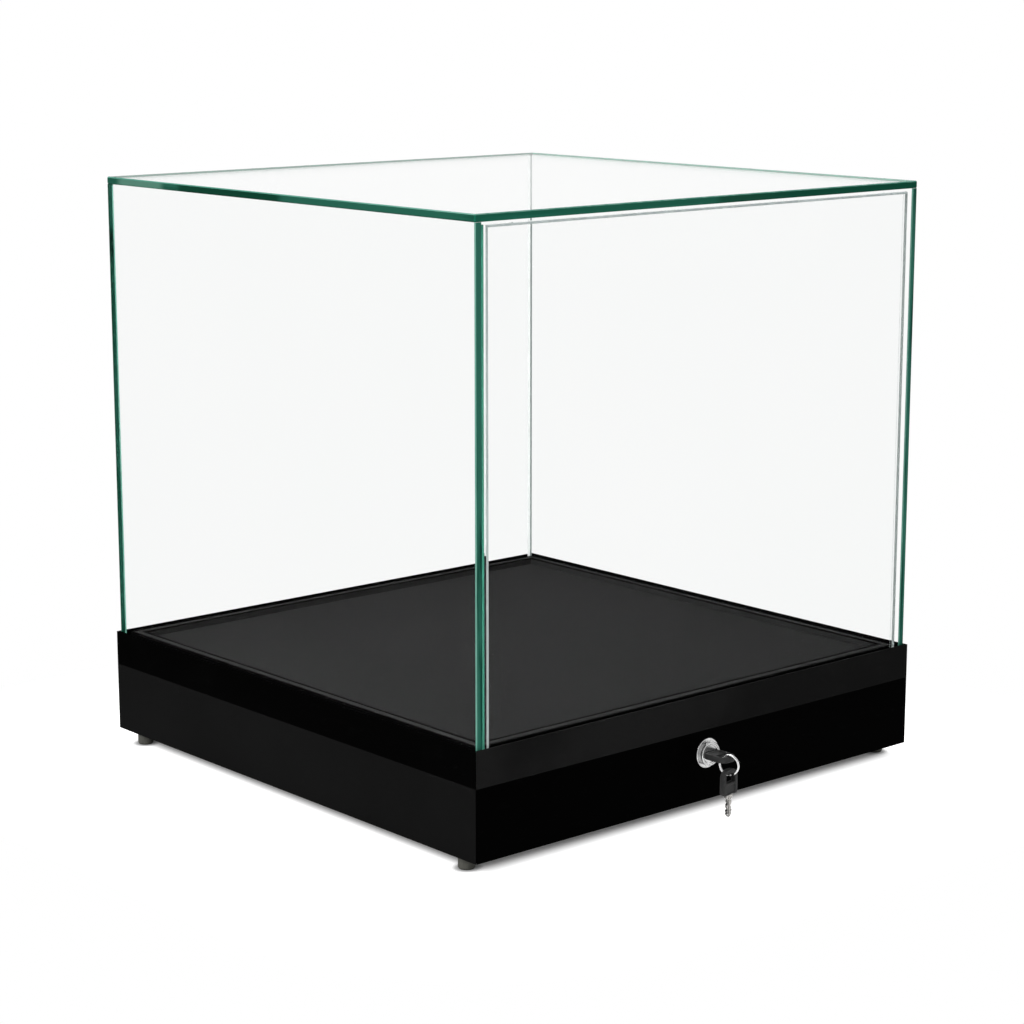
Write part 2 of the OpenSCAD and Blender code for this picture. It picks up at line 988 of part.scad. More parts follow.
module lock_strike() {
    color("#b8bcc0") difference() {
        strike_place() {
            translate([-strike_w / 2, 0, 0]) cube([strike_w, strike_foot, bracket_t]);
            translate([-strike_w / 2, 0, 0]) cube([strike_w, bracket_t, strike_h]);
        }
        strike_screw_places() csk_screw(fit);
    }
}

module strike_screws() { color("#b8bcc0") strike_screw_places() csk_screw(); }

// Keys. A key lies flat in its own frame, with its shoulder on y = 0, its blade along +y and
// its bow along -y.

module blade_shape() {
    half = blade_w / 2;
    waist = half - 0.6;
    leaf = blade_l - leaf_l;
    difference() {
        polygon([
            [-half, 0], [-half, 1.6], [-waist, 2.4], [-waist, leaf], [-half + 1.6, leaf + 0.7],
            [-half + 0.9, leaf + 1.9], [-0.7, blade_l], [0.7, blade_l], [half - 0.9, leaf + 1.9],
            [half - 1.6, leaf + 0.7], [waist, leaf], [waist, 2.4], [half, 1.6], [half, 0]
        ]);
        for (i = [0 : len(key_cuts) - 1])
            for (side = [-1, 1]) {
                depth = key_cuts[side > 0 ? i : len(key_cuts) - 1 - i];
                translate([side * waist, first_cut + i * cut_pitch])
                    polygon([
                        [side * cut, -depth - 0.3 - cut], [-side * depth, -0.3],
                        [-side * depth, 0.3], [side * cut, depth + 0.3 + cut]
                    ]);
            }
    }
}

module blade() {
    groove_l = blade_l - 3;
    color("#c4c7ca") difference() {
        translate([0, 0, -blade_t / 2]) {
            linear_extrude(blade_t) blade_shape();
            translate([-tang_w / 2, -tang_l, 0]) cube([tang_w, tang_l + 0.5, blade_t]);
        }
        for (side = [-1, 1])
            translate([side * 0.9 - 0.45, 0.6, side * blade_t / 2 - 0.35])
                cube([0.9, groove_l, 0.7]);
    }
}

module bow_shape() {
    half = bow_w / 2;
    difference() {
        union() {
            translate([-half, -bow_l + bow_corner])
                square([bow_w, bow_l - bow_corner - bow_shoulder]);
            translate([-half + bow_corner, -bow_l])
                square([bow_w - 2 * bow_corner, bow_l]);
            for (side = [-1, 1])
                translate([side * (half - bow_corner), -bow_l + bow_corner])
                    circle(r = bow_corner);
            for (side = [-1, 1])
                translate([side * (half - bow_shoulder), -bow_shoulder])
                    circle(r = bow_shoulder);
            translate([-half + bow_shoulder, -bow_shoulder])
                square([bow_w - 2 * bow_shoulder, bow_shoulder]);
        }
        translate([-slot_x / 2, -bow_l + bow_bar])
            square([slot_x, slot_y]);
    }
}

module bow() {
    recess_front = -bow_l + bow_bar + slot_y + 1;
    recess_y = -recess_front - 1;
    color("#1d1d1d") difference() {
        translate([0, 0, -bow_t / 2]) linear_extrude(bow_t) bow_shape();
        translate([-tang_w / 2, -tang_l, -blade_t / 2]) cube([tang_w, tang_l + cut, blade_t]);
        for (side = [-1, 1])
            translate([-recess_x / 2, recess_front, side * bow_t / 2 - recess_d])
                cube([recess_x, recess_y, 2 * recess_d]);
    }
}

module key_place() { translate([0, -half_d - key_out, lock_z]) children(); }

module spare_key_place() {
    translate([0, ring_y, spare_edge_z])
        rotate([0, 0, spare_turn])
            rotate([-90, 0, 0])
                translate([0, bow_l - bow_bar, 0])
                    children();
}

module key_blade() { key_place() blade(); }
module key_bow() { key_place() bow(); }
module spare_key_blade() { spare_key_place() blade(); }
module spare_key_bow() { spare_key_place() bow(); }

// A split ring: two coils side by side, with a free wire end on each side of the crossover
module key_ring() {
    color("#d5d8da")
        translate([0, ring_y, ring_z])
            rotate([0, 0, ring_turn - 90])
                rotate([90, 50, 0])
                    difference() {
                        rotate_extrude()
                            for (side = [-1, 1])
                                translate([ring_r, side * coil_w / 2])
                                    coil_section();
                        for (side = [0, 180])
                            rotate([side, 0, 0])
                                translate([ring_in - cut, coil_bridge, 0])
                                    cube([ring_wire + 2 * cut, coil_end_gap, coil_w + cut]);
                    }
}

module coil_section() {
    u = ring_wire / 2;
    v = coil_w / 2;
    polygon([
        [-u, -v + coil_bevel], [-u + coil_bevel, -v], [u - coil_bevel, -v], [u, -v + coil_bevel],
        [u, v - coil_bevel], [u - coil_bevel, v], [-u + coil_bevel, v], [-u, v - coil_bevel]
    ]);
}

// Feet, in the frame of a foot that hangs from z = 0

module foot_places() {
    for (side = [-1, 1])
        for (end = [-1, 1])
            translate([side * (half_w - foot_x), end * (half_d - foot_y), foot_h])
                children();
}

module foot_screw_places() {
    foot_places()
        translate([0, 0, -foot_h + foot_floor])
            rotate([180, 0, 0])
                children();
}

module feet() {
    color("#62625e")
        foot_places()
            rotate_extrude()
                polygon([
                    [screw_r + fit, 0],
                    [foot_r - foot_taper, 0],
                    [foot_r, -1],
                    [foot_r, -foot_h + 1],
                    [foot_r - 0.6, -foot_h],
                    [foot_bore_r, -foot_h],
                    [foot_bore_r, -foot_h + foot_floor],
                    [screw_r + fit, -foot_h + foot_floor]
                ]);
}

module foot_screws() { color("#b8bcc0") foot_screw_places() pan_screw(); }

side_panel_left();
side_panel_right();
back_panel();
bottom_panel();
corner_blocks();
rail_left();
rail_right();
rail_back();
rail_screws();
glazing_strip();
glass_left();
glass_right();
glass_back();
glass_top();
slide_outer_left();
slide_outer_right();
slide_outer_screws();
lock_strike();
strike_screws();
rear_bumpers();
feet();
foot_screws();
drawer_front();
front_rail();
front_rail_screws();
front_glazing_strip();
glass_front();
drawer_side_left();
drawer_side_right();
drawer_back();
drawer_back_screws();
deck_panel();
deck_border();
angle_brackets();
bracket_screws();
slide_inner_left();
slide_inner_right();
slide_inner_screws();
lock_housing();
lock_nut();
ball_cage_left();
ball_cage_right();
slide_balls();
lock_plug();
lock_cam();
cam_screw();
key_blade();
key_bow();
key_ring();
spare_key_blade();
spare_key_bow();
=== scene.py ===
# %% [markdown]
# # A countertop display case, dressed for its portrait
#
# The case is a cube of clear glass on a low black base. Its deck, front panel and front pane pull
# out together as a drawer, and a small key lock holds them shut. The CAD model comes in as a fixed
# frame with every part in its place. This lesson builds what a camera sees on top of it: light,
# finishes, real panes of glass and the small bright pieces around the lock.
#
# All sizes are metres. X runs to the right, the front faces -Y, and Z is up.

import math

import bmesh
import bpy
from mathutils import Matrix, Vector


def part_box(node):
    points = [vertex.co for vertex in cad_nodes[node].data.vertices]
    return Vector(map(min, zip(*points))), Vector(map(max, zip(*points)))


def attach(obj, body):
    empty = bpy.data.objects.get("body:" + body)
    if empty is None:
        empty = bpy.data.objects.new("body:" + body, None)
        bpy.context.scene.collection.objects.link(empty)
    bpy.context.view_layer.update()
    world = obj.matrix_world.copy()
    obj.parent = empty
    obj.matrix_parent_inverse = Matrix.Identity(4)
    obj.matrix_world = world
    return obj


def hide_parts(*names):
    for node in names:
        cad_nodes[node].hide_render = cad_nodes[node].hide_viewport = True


MM = 0.001
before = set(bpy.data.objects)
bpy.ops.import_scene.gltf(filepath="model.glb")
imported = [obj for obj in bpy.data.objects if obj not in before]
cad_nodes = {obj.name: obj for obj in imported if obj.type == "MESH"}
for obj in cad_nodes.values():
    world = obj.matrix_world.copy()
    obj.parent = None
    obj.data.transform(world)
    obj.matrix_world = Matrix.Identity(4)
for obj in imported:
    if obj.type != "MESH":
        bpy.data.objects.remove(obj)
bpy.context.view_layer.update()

# %% [markdown]
# ## The camera
#
# The case stands turned, so that its near corner divides the picture and both faces run away from
# it. A long lens from 1.8 m keeps the edges of the cube almost parallel, as in a shop picture. The
# camera tips down a little and isn't shifted, so the same camera also serves for other views.

# %% Place the camera
FRAME_PIXELS = 1024
FOCAL_PIXELS = 2603.8
SENSOR_MM = 36
CAMERA_PLACE = (-1.1844, -1.3606, 0.5399)
CAMERA_TURN = 0.7178
CAMERA_TIP = 0.2009

lens = bpy.data.cameras.new("portrait_lens")
lens.sensor_width = SENSOR_MM
lens.lens = SENSOR_MM * FOCAL_PIXELS / FRAME_PIXELS
camera = bpy.data.objects.new("portrait_camera", lens)
camera.location = CAMERA_PLACE
camera.rotation_euler = (math.pi / 2 - CAMERA_TIP, 0, -CAMERA_TURN)
bpy.context.scene.collection.objects.link(camera)
bpy.context.scene.camera = camera
bpy.context.scene.view_settings.view_transform = "Standard"
print("lens", round(lens.lens, 2), "mm")

# %% [markdown]
# ## Building materials from nodes
#
# Every finish is a Principled shader with a few nodes in front of it. The same few effects come
# back in many finishes, so each is a node group that is built once: uneven tone, fine bumps,
# drawn lines, and bright worn edges. Node code written out in full is long and hard to follow, so
# short helpers come first. Most add one node, feed it, and give back the socket that is read next.

# %% Helpers that add and feed nodes
def add_node(tree, kind, **settings):
    """A new node of this kind with its settings made."""
    node = tree.nodes.new("ShaderNode" + kind)
    for name, value in settings.items():
        setattr(node, name, value)
    return node


def feed(tree, target, value):
    """Connects value to the target socket if it is a socket, and writes it there if it isn't."""
    if isinstance(value, bpy.types.NodeSocket):
        tree.links.new(value, target)
    else:
        target.default_value = value


def wire(tree, node, **values):
    """Feeds a node's inputs by name, with _ for each space, and returns the node."""
    for name, value in values.items():
        feed(tree, node.inputs[name.replace("_", " ")], value)
    return node


def math_node(tree, operation, *values):
    """The result socket of a Math node on these values."""
    node = add_node(tree, "Math", operation=operation)
    for socket, value in zip(node.inputs, values):
        feed(tree, socket, value)
    return node.outputs["Value"]


def vector_node(tree, operation, *vectors):
    """A Vector Math node on these vectors."""
    node = add_node(tree, "VectorMath", operation=operation)
    for socket, vector in zip(node.inputs, vectors):
        feed(tree, socket, vector)
    return node


print("helpers: add_node, feed, wire, math_node, vector_node")

# %% Helpers for patterns and groups
def ramp(tree, value, start, end, low=0.0, high=1.0, kind="SMOOTHSTEP"):
    """The socket of a number that goes from low to high while value goes from start to end."""
    node = add_node(tree, "MapRange", interpolation_type=kind)
    wire(tree, node, Value=value, From_Min=start, From_Max=end, To_Min=low, To_Max=high)
    return node.outputs["Result"]


def mix_colours(tree, factor, first, second, blend_type="MIX"):
    """The socket of two mixed colours. A Mix node takes them at 6 and 7, and gives one at 2."""
    node = add_node(tree, "Mix", data_type="RGBA", blend_type=blend_type)
    feed(tree, node.inputs["Factor"], factor)
    feed(tree, node.inputs[6], first)
    feed(tree, node.inputs[7], second)
    return node.outputs[2]


def object_place(tree):
    """The socket of a point's place in the object's own coordinates."""
    return add_node(tree, "TexCoord").outputs["Object"]


def noise(tree, place, **values):
    """The socket of a noise pattern at a place."""
    return wire(tree, add_node(tree, "TexNoise"), Vector=place, **values).outputs["Fac"]


def new_group(name, inputs, outputs):
    """An empty node group with named sockets, and the nodes that bring values in and out."""
    group = bpy.data.node_groups.new(name, "ShaderNodeTree")
    for label, kind, value in inputs:
        socket = group.interface.new_socket(label, in_out="INPUT", socket_type="NodeSocket" + kind)
        socket.default_value = value
    for label, kind in outputs:
        group.interface.new_socket(label, in_out="OUTPUT", socket_type="NodeSocket" + kind)
    brought = group.nodes.new("NodeGroupInput")
    given = group.nodes.new("NodeGroupOutput")
    return group, brought.outputs, given.inputs


print("helpers: ramp, mix_colours, object_place, noise, new_group")

# %% [markdown]
# ### Uneven tone
#
# No real surface has one colour all over. This group drifts between two colours in soft patches,
# with a finer patch pattern inside the large one. A low Softness gives the patches clear borders.

# %% Group: uneven tone
def build_tone_group():
    group, brought, given = new_group(
        "uneven_tone",
        [("Colour", "Color", (0.5, 0.5, 0.5, 1)), ("Other Colour", "Color", (0.4, 0.4, 0.4, 1)),
         ("Scale", "Float", 20.0), ("Stretch", "Vector", (1.0, 1.0, 1.0)),
         ("Softness", "Float", 0.2)],
        [("Colour", "Color"), ("Value", "Float")])
    stretched = vector_node(group, "MULTIPLY", object_place(group), brought["Stretch"])
    patches = noise(group, stretched.outputs["Vector"], Scale=brought["Scale"], Detail=5.0,
                    Roughness=0.6)
    spread = ramp(group, patches, math_node(group, "SUBTRACT", 0.5, brought["Softness"]),
                  math_node(group, "ADD", 0.5, brought["Softness"]))
    tone = mix_colours(group, spread, brought["Colour"], brought["Other Colour"])
    group.links.new(tone, given["Colour"])
    group.links.new(spread, given["Value"])
    return group


tone_group = build_tone_group()
print("group:", tone_group.name)

# %% [markdown]
# ### Fine bumps
#
# Pressed laminate, powder coat and moulded plastic are covered in tiny soft pits. A cell pattern
# gives the pits and a noise pattern breaks them up. The output is a height for a Bump node.

# %% Group: fine bumps
def build_bump_group():
    group, brought, given = new_group(
        "fine_bumps",
        [("Scale", "Float", 1500.0), ("Noise Share", "Float", 0.5)],
        [("Height", "Float")])
    place = object_place(group)
    cells = add_node(group, "TexVoronoi", feature="SMOOTH_F1")
    wire(group, cells, Vector=place, Scale=brought["Scale"], Smoothness=0.6)
    grain = noise(group, place, Scale=brought["Scale"], Detail=3.0)
    mixed = add_node(group, "Mix", data_type="FLOAT")
    feed(group, mixed.inputs["Factor"], brought["Noise Share"])
    feed(group, mixed.inputs[2], cells.outputs["Distance"])
    feed(group, mixed.inputs[3], grain)
    group.links.new(mixed.outputs[0], given["Height"])
    return group


bump_group = build_bump_group()
print("group:", bump_group.name)

# %% [markdown]
# ### Drawn lines
#
# Extruded rails, rolled steel and cut keys carry fine lines along the way they were drawn. Noise
# that is stretched along one axis looks like that: the long axis gets a small number in Stretch.

# %% Group: drawn lines
def build_line_group():
    group, brought, given = new_group(
        "drawn_lines",
        [("Scale", "Float", 900.0), ("Stretch", "Vector", (0.02, 1.0, 1.0))],
        [("Height", "Float")])
    stretched = vector_node(group, "MULTIPLY", object_place(group), brought["Stretch"])
    lines = noise(group, stretched.outputs["Vector"], Scale=brought["Scale"], Detail=4.0,
                  Roughness=0.7)
    group.links.new(lines, given["Height"])
    return group


line_group = build_line_group()
print("group:", line_group.name)

# %% [markdown]
# ### Worn edges
#
# Handling rubs the sharp edges of a part first. A Bevel node rounds the normals close to an edge,
# so where it disagrees with the true normal there is an edge. Noise makes the wear patchy.

# %% Group: worn edges
def build_wear_group():
    group, brought, given = new_group(
        "worn_edges",
        [("Width", "Float", 0.0006), ("Amount", "Float", 0.5), ("Patch Scale", "Float", 60.0)],
        [("Mask", "Float")])
    rounded = wire(group, add_node(group, "Bevel", samples=6), Radius=brought["Width"])
    surface = add_node(group, "NewGeometry")
    agreement = vector_node(group, "DOT_PRODUCT", rounded.outputs["Normal"],
                            surface.outputs["Normal"])
    edge = ramp(group, agreement.outputs["Value"], start=0.995, end=0.8, kind="LINEAR")
    patches = noise(group, object_place(group), Scale=brought["Patch Scale"], Detail=4.0)
    broken = ramp(group, patches, start=0.35, end=0.65, kind="LINEAR")
    mask = math_node(group, "MULTIPLY", edge, broken)
    group.links.new(math_node(group, "MULTIPLY", mask, brought["Amount"]), given["Mask"])
    return group


wear_group = build_wear_group()
print("group:", wear_group.name)

# %% [markdown]
# ### One function that puts a finish together
#
# A finish here is a base tone that drifts, edges that show another colour, a roughness that varies
# a little, and a bump. The function takes those as plain numbers, so that each material below says
# only what makes it different.

# %% A finish from shared groups
BUMP_STRENGTH = 0.4


def grey(level):
    """The four numbers of a grey."""
    return (level, level, level, 1)


def use_group(tree, group, **values):
    """A group node in this tree, with its inputs fed by name."""
    return wire(tree, add_node(tree, "Group", node_tree=group), **values)


def new_material(name):
    """A new material with its node tree and its Principled shader."""
    material = bpy.data.materials.new(name)
    material.use_nodes = True
    tree = material.node_tree
    return material, tree, tree.nodes["Principled BSDF"]


def base_input(material):
    """The input of a material's shader that takes the base colour."""
    return material.node_tree.nodes["Principled BSDF"].inputs["Base Color"]


def new_finish(name, colour, other, *, roughness, metallic=0.0, specular=0.5, tone_scale=12.0,
               stretch=(1, 1, 1), softness=0.2, edge=None, edge_width=0.5 * MM, edge_amount=0.5,
               bump_scale, line_stretch=None, bump_height=0.02 * MM, roughness_spread=0.08):
    """A Principled material with drifting tone, worn edges, uneven roughness and a fine bump."""
    material, tree, shader = new_material(name)
    tone = use_group(tree, tone_group, Colour=colour, Other_Colour=other, Scale=tone_scale,
                     Stretch=stretch, Softness=softness)
    base = tone.outputs["Colour"]
    if edge is not None:
        wear = use_group(tree, wear_group, Width=edge_width, Amount=edge_amount)
        base = mix_colours(tree, wear.outputs["Mask"], base, edge)
    uneven = ramp(tree, tone.outputs["Value"], 0.0, 1.0, roughness - roughness_spread / 2,
                  roughness + roughness_spread / 2, kind="LINEAR")
    rounded = wire(tree, add_node(tree, "Bevel", samples=4), Radius=edge_width)
    if line_stretch is not None:
        relief = use_group(tree, line_group, Scale=bump_scale, Stretch=line_stretch)
    else:
        relief = use_group(tree, bump_group, Scale=bump_scale)
    bump = wire(tree, add_node(tree, "Bump"), Height=relief.outputs["Height"],
                Distance=bump_height, Strength=BUMP_STRENGTH, Normal=rounded.outputs["Normal"])
    wire(tree, shader, Base_Color=base, Roughness=uneven, Normal=bump.outputs["Normal"],
         Metallic=metallic, Specular_IOR_Level=specular)
    return material


print("bump strength:", BUMP_STRENGTH)

# %% [markdown]
# ## The black base
#
# The base is fibreboard under a satin black laminate, capped by black anodised rails. Both are so
# dark that their shape is told by small steps of tone. The front of the drawer is painted the
# deepest black, a painted shade, while its rail is painted a shade lighter than the others, a
# painted sheen.
# The laminate has a soft pressed texture, and the rails have fine lines along their length.

# %% Finishes of the base
def new_laminate(name, level):
    """Black laminate with a soft pressed texture."""
    return new_finish(
        name, grey(level), grey(level * 1.2), roughness=0.45, specular=0.002,
        edge=grey(level * 2 + 0.002), edge_amount=0.3, bump_scale=900)


def new_rail_finish(name, level, other):
    """Black anodising with fine lines from the extrusion."""
    return new_finish(
        name, grey(level), grey(other), roughness=0.4, specular=0.0, tone_scale=5, softness=0.1,
        edge=grey(level * 2 + 0.001), edge_width=0.3 * MM, edge_amount=0.3,
        bump_scale=700, line_stretch=(0.03, 0.03, 1), bump_height=0.008 * MM)


finishes = {
    "laminate": new_laminate("satin_black_laminate", 0.0050),
    "rail_metal": new_rail_finish("black_anodised_rail", 0.0010, 0.0015),
    "border_metal": new_finish(
        "grey_powder_coat", grey(0.0185), grey(0.0170), roughness=0.6, specular=0.0,
        edge=grey(0.021), edge_width=0.2 * MM, bump_scale=1600, bump_height=0.03 * MM),
    "deck_board": new_finish(
        "matte_deck_laminate", grey(0.0142), grey(0.0134), roughness=0.8, specular=0.0,
        tone_scale=6, bump_scale=1300, bump_height=0.03 * MM),
    "liner_rubber": new_finish(
        "black_glazing_rubber", grey(0.002), grey(0.003), roughness=0.8, specular=0.01,
        bump_scale=2500),
    # A black strip put where there is only shade: painted shade of the step between border and
    # deck.
    "bead_rubber": new_finish(
        "black_painted_shade_strip", grey(0.0012), grey(0.0020), roughness=0.8, specular=0.0,
        bump_scale=2500),
    "foot_rubber": new_finish(
        "olive_rubber", (0.075, 0.075, 0.064, 1), (0.052, 0.052, 0.045, 1), roughness=0.75,
        specular=0.3, tone_scale=300, bump_scale=2200, bump_height=0.04 * MM),
    "hardboard": new_finish(
        "brown_hardboard", (0.10, 0.06, 0.032, 1), (0.07, 0.042, 0.022, 1), roughness=0.7,
        specular=0.25, tone_scale=500, bump_scale=1200, bump_height=0.05 * MM),
}
# The front of the drawer is painted darker than the sides, as painted shade, and the rail on it
# lighter than the other rails, as a painted sheen.
node_finish = {
    "drawer_front": new_laminate("painted_shade_black_laminate", 0.0005),
    "front_rail": new_rail_finish("painted_sheen_front_rail", 0.0135, 0.0085),
}
print("finishes:", sorted(finishes))

# %% [markdown]
# ## Plain metals
#
# Inside the base sit zinc-plated slides, brackets and screws. Zinc crystals show as faint patches.
# The lock is satin chrome and the ring is brighter, and both need little more than a low roughness
# and something pale to mirror. The cam is yellow chromated zinc, and the blades are nickel. The
# plastic of the key bows comes last.

# %% Finishes of the metals and of the key bows
ZINC = (0.56, 0.57, 0.585, 1)
DULL_ZINC = (0.43, 0.44, 0.455, 1)
for slot in ("screw_steel", "slide_steel", "bracket_steel"):
    finishes[slot] = new_finish(
        "zinc_" + slot, ZINC, DULL_ZINC, roughness=0.34, metallic=1.0, tone_scale=350,
        edge=grey(0.7), edge_width=0.2 * MM, bump_scale=1800, bump_height=0.01 * MM)
finishes["ball_steel"] = new_finish(
    "polished_balls", grey(0.72), grey(0.66), roughness=0.1, metallic=1.0, bump_scale=3000,
    bump_height=0.002 * MM, edge_width=0.1 * MM, roughness_spread=0.06)
for slot, level in (("lock_chrome", 0.49), ("ring_chrome", 0.62)):
    finishes[slot] = new_finish(
        "polished_" + slot, grey(level), grey(level * 0.8), roughness=0.2, metallic=1.0,
        tone_scale=400, edge=grey(0.8), edge_width=0.15 * MM, bump_scale=2500,
        bump_height=0.004 * MM, roughness_spread=0.1)
finishes["cam_steel"] = new_finish(
    "yellow_zinc_cam", (0.6, 0.5, 0.26, 1), (0.5, 0.46, 0.3, 1), roughness=0.32, metallic=1.0,
    tone_scale=200, edge=(0.7, 0.66, 0.5, 1), edge_width=0.2 * MM, bump_scale=1800,
    bump_height=0.01 * MM)
finishes["key_nickel"] = new_finish(
    "nickel_blade", (0.27, 0.262, 0.25, 1), (0.16, 0.156, 0.15, 1), roughness=0.3, metallic=1.0,
    tone_scale=350, softness=0.1, edge=grey(0.7), edge_width=0.15 * MM, bump_scale=1500,
    line_stretch=(1, 1, 0.05))
finishes["bow_plastic"] = new_finish(
    "black_bow_plastic", grey(0.024), grey(0.033), roughness=0.42, specular=0.06,
    tone_scale=300, edge=grey(0.06), edge_width=0.3 * MM, bump_scale=2600,
    bump_height=0.03 * MM)
print("finishes:", len(finishes))

# %% [markdown]
# ## Plywood
#
# The drawer's boards and the corner blocks are lacquered plywood. Two patterns make it: veneer
# grain that runs along the board, and thin layers that show on the sawn edges. The layers are
# bands across the thickness, which stay constant over a face, so they show at the edges only.

# %% Plywood for boards that stand across X or across Y
PLY_THICKNESS = 1.7 * MM
GRAIN_ACROSS = 60.0
GRAIN_ALONG = 3.0
LINES_ALONG = 0.05


def along(tree, place, axis):
    """The socket of one coordinate of a place."""
    split = add_node(tree, "SeparateXYZ")
    tree.links.new(place, split.inputs["Vector"])
    return split.outputs[axis]


def new_plywood(name, thickness, length):
    """Plywood whose layers stack along one axis and whose grain runs along another."""
    stretch = [GRAIN_ALONG if axis == length else GRAIN_ACROSS for axis in range(3)]
    lines = [LINES_ALONG if axis == length else 1.0 for axis in range(3)]
    material = new_finish(
        name, (0.40, 0.255, 0.135, 1), (0.30, 0.18, 0.09, 1), roughness=0.45, specular=0.35,
        tone_scale=1.6, stretch=stretch, edge=(0.5, 0.36, 0.22, 1), bump_scale=400,
        line_stretch=lines, bump_height=0.05 * MM)
    tree = material.node_tree
    base = base_input(material)
    depth = along(tree, object_place(tree), thickness)
    layer = math_node(tree, "SINE", math_node(tree, "MULTIPLY", depth, math.pi / PLY_THICKNESS))
    dark = ramp(tree, layer, start=-0.3, end=0.3, low=0.72, high=1.0)
    grain = base.links[0].from_socket
    tree.links.new(mix_colours(tree, 1.0, grain, dark, blend_type="MULTIPLY"), base)
    return material


plywood_side = new_plywood("plywood_side_boards", thickness=0, length=1)
plywood_back = new_plywood("plywood_back_boards", thickness=1, length=0)
node_finish.update({
    "drawer_side_left": plywood_side,
    "drawer_side_right": plywood_side,
    "drawer_back": plywood_back,
    "corner_blocks": plywood_back,
})
print("plywood:", plywood_side.name, plywood_back.name)

# %% [markdown]
# ## Glass
#
# A pane shows itself in two ways. Its faces are almost invisible, and its ground edges look deep
# green, because there the eye looks along the glass and its iron colours the light. So a pane gets
# one material on its two faces, one on its cut edges, and a paler one on the narrow ground bevels.
#
# Cycles would let no lamp light through a refracting face, so a Light Path node swaps it for a
# Transparent shader when the ray comes from a lamp. The faces mirror little, as in the picture.

# %% The glass of the faces
GLASS_BEND = 1.03
CLEAR_TINT = (0.968, 0.972, 0.97, 1)
OTHER_CLEAR_TINT = (0.962, 0.968, 0.965, 1)


def show_mix(tree, factor, first, second):
    """Makes a mix of two shader sockets the surface of a material."""
    mixed = add_node(tree, "MixShader")
    for socket, value in zip(mixed.inputs, (factor, first, second)):
        tree.links.new(value, socket)
    tree.links.new(mixed.outputs["Shader"], tree.nodes["Material Output"].inputs["Surface"])


def new_clear_glass():
    material, tree, shader = new_material("clear_glass_face")
    film = use_group(tree, tone_group, Colour=CLEAR_TINT, Other_Colour=OTHER_CLEAR_TINT, Scale=3.0)
    wire(tree, shader, Base_Color=film.outputs["Colour"], Roughness=0.0, IOR=GLASS_BEND,
         Metallic=0.0, Transmission_Weight=1.0)
    open_way = wire(tree, add_node(tree, "BsdfTransparent"), Color=CLEAR_TINT)
    path = add_node(tree, "LightPath")
    show_mix(tree, path.outputs["Is Shadow Ray"], shader.outputs["BSDF"], open_way.outputs["BSDF"])
    return material


clear_glass = new_clear_glass()
print("glass:", clear_glass.name)

# %% [markdown]
# ### Glass of the edges
#
# The green of an edge runs in streaks along it. What an edge shows also depends on what lies behind
# it, so a few edges get a darker or a paler patch, with soft ends, where the picture has one: the
# darker patches are painted shade, and the paler one is a painted highlight. Some edges are seen
# from outside and from inside the pane, and have a colour for each; the paler colour inside is
# painted light, which stands for the backdrop seen through the edge.

# %% Kinds of edge glass
STREAKS_ACROSS = 25.0
STREAK_SCALE = 7.0
PATCH_FADE = 10 * MM
DEEP_GREEN = (0.0035, 0.046, 0.030, 1)
SEA_GREEN = (0.028, 0.150, 0.105, 1)
SOFT_GREEN = (0.030, 0.120, 0.083, 1)
# The colours of edges seen from inside are painted light: FAR_GREEN, PALE_GREY, LINE_GREY and
# NEAR_WHITE stand for the backdrop's light seen through the edge.
FAR_GREEN = (0.03, 0.19, 0.125, 1)
PALE_GREY = (0.30, 0.335, 0.33, 1)
LINE_GREY = (0.21, 0.235, 0.23, 1)
NEAR_WHITE = (0.66, 0.68, 0.675, 1)


def new_edge_glass(name, colour, other, thin, roughness=0.3):
    """Edge glass for a pane that is thin along one axis. Its tone runs in streaks along the edge,
    a few of them side by side across the thickness."""
    streaks = [STREAKS_ACROSS if axis == thin else 1.0 for axis in range(3)]
    return new_finish(
        f"{name}_{'xyz'[thin]}", colour, other, roughness=roughness, specular=0.02,
        tone_scale=STREAK_SCALE, stretch=streaks, softness=0.08, edge_width=0.2 * MM,
        bump_scale=900, line_stretch=(0.05, 0.05, 0.05), bump_height=0.01 * MM,
        roughness_spread=0.15)


def colour_inside(material, colour):
    """Gives the inner side of an edge face another colour than its outer side, as painted light:
    seen from inside, the edge takes a paler colour that stands for the backdrop's light coming
    through it.
    """
    tree = material.node_tree
    base = base_input(material)
    surface = add_node(tree, "NewGeometry")
    outside = base.links[0].from_socket
    tree.links.new(mix_colours(tree, surface.outputs["Backfacing"], outside, colour), base)
    return material


def add_painted_light_patch(material, axis, start, end, colour):
    """Paints an edge another colour between two places along an axis, with soft ends: a darker
    patch is painted shade, and a paler one painted light.
    """
    tree = material.node_tree
    base = base_input(material)
    place = along(tree, object_place(tree), axis)
    inside = math_node(tree, "MULTIPLY", ramp(tree, place, start, start + PATCH_FADE),
                       ramp(tree, place, end, end - PATCH_FADE))
    tree.links.new(mix_colours(tree, inside, base.links[0].from_socket, colour), base)
    return material


def two_sided_edge(name, thin, inside):
    """Edge glass that is deep green outside and has another colour inside."""
    return colour_inside(new_edge_glass(name, DEEP_GREEN, SEA_GREEN, thin), inside)


print("patches fade out over", PATCH_FADE, "m")

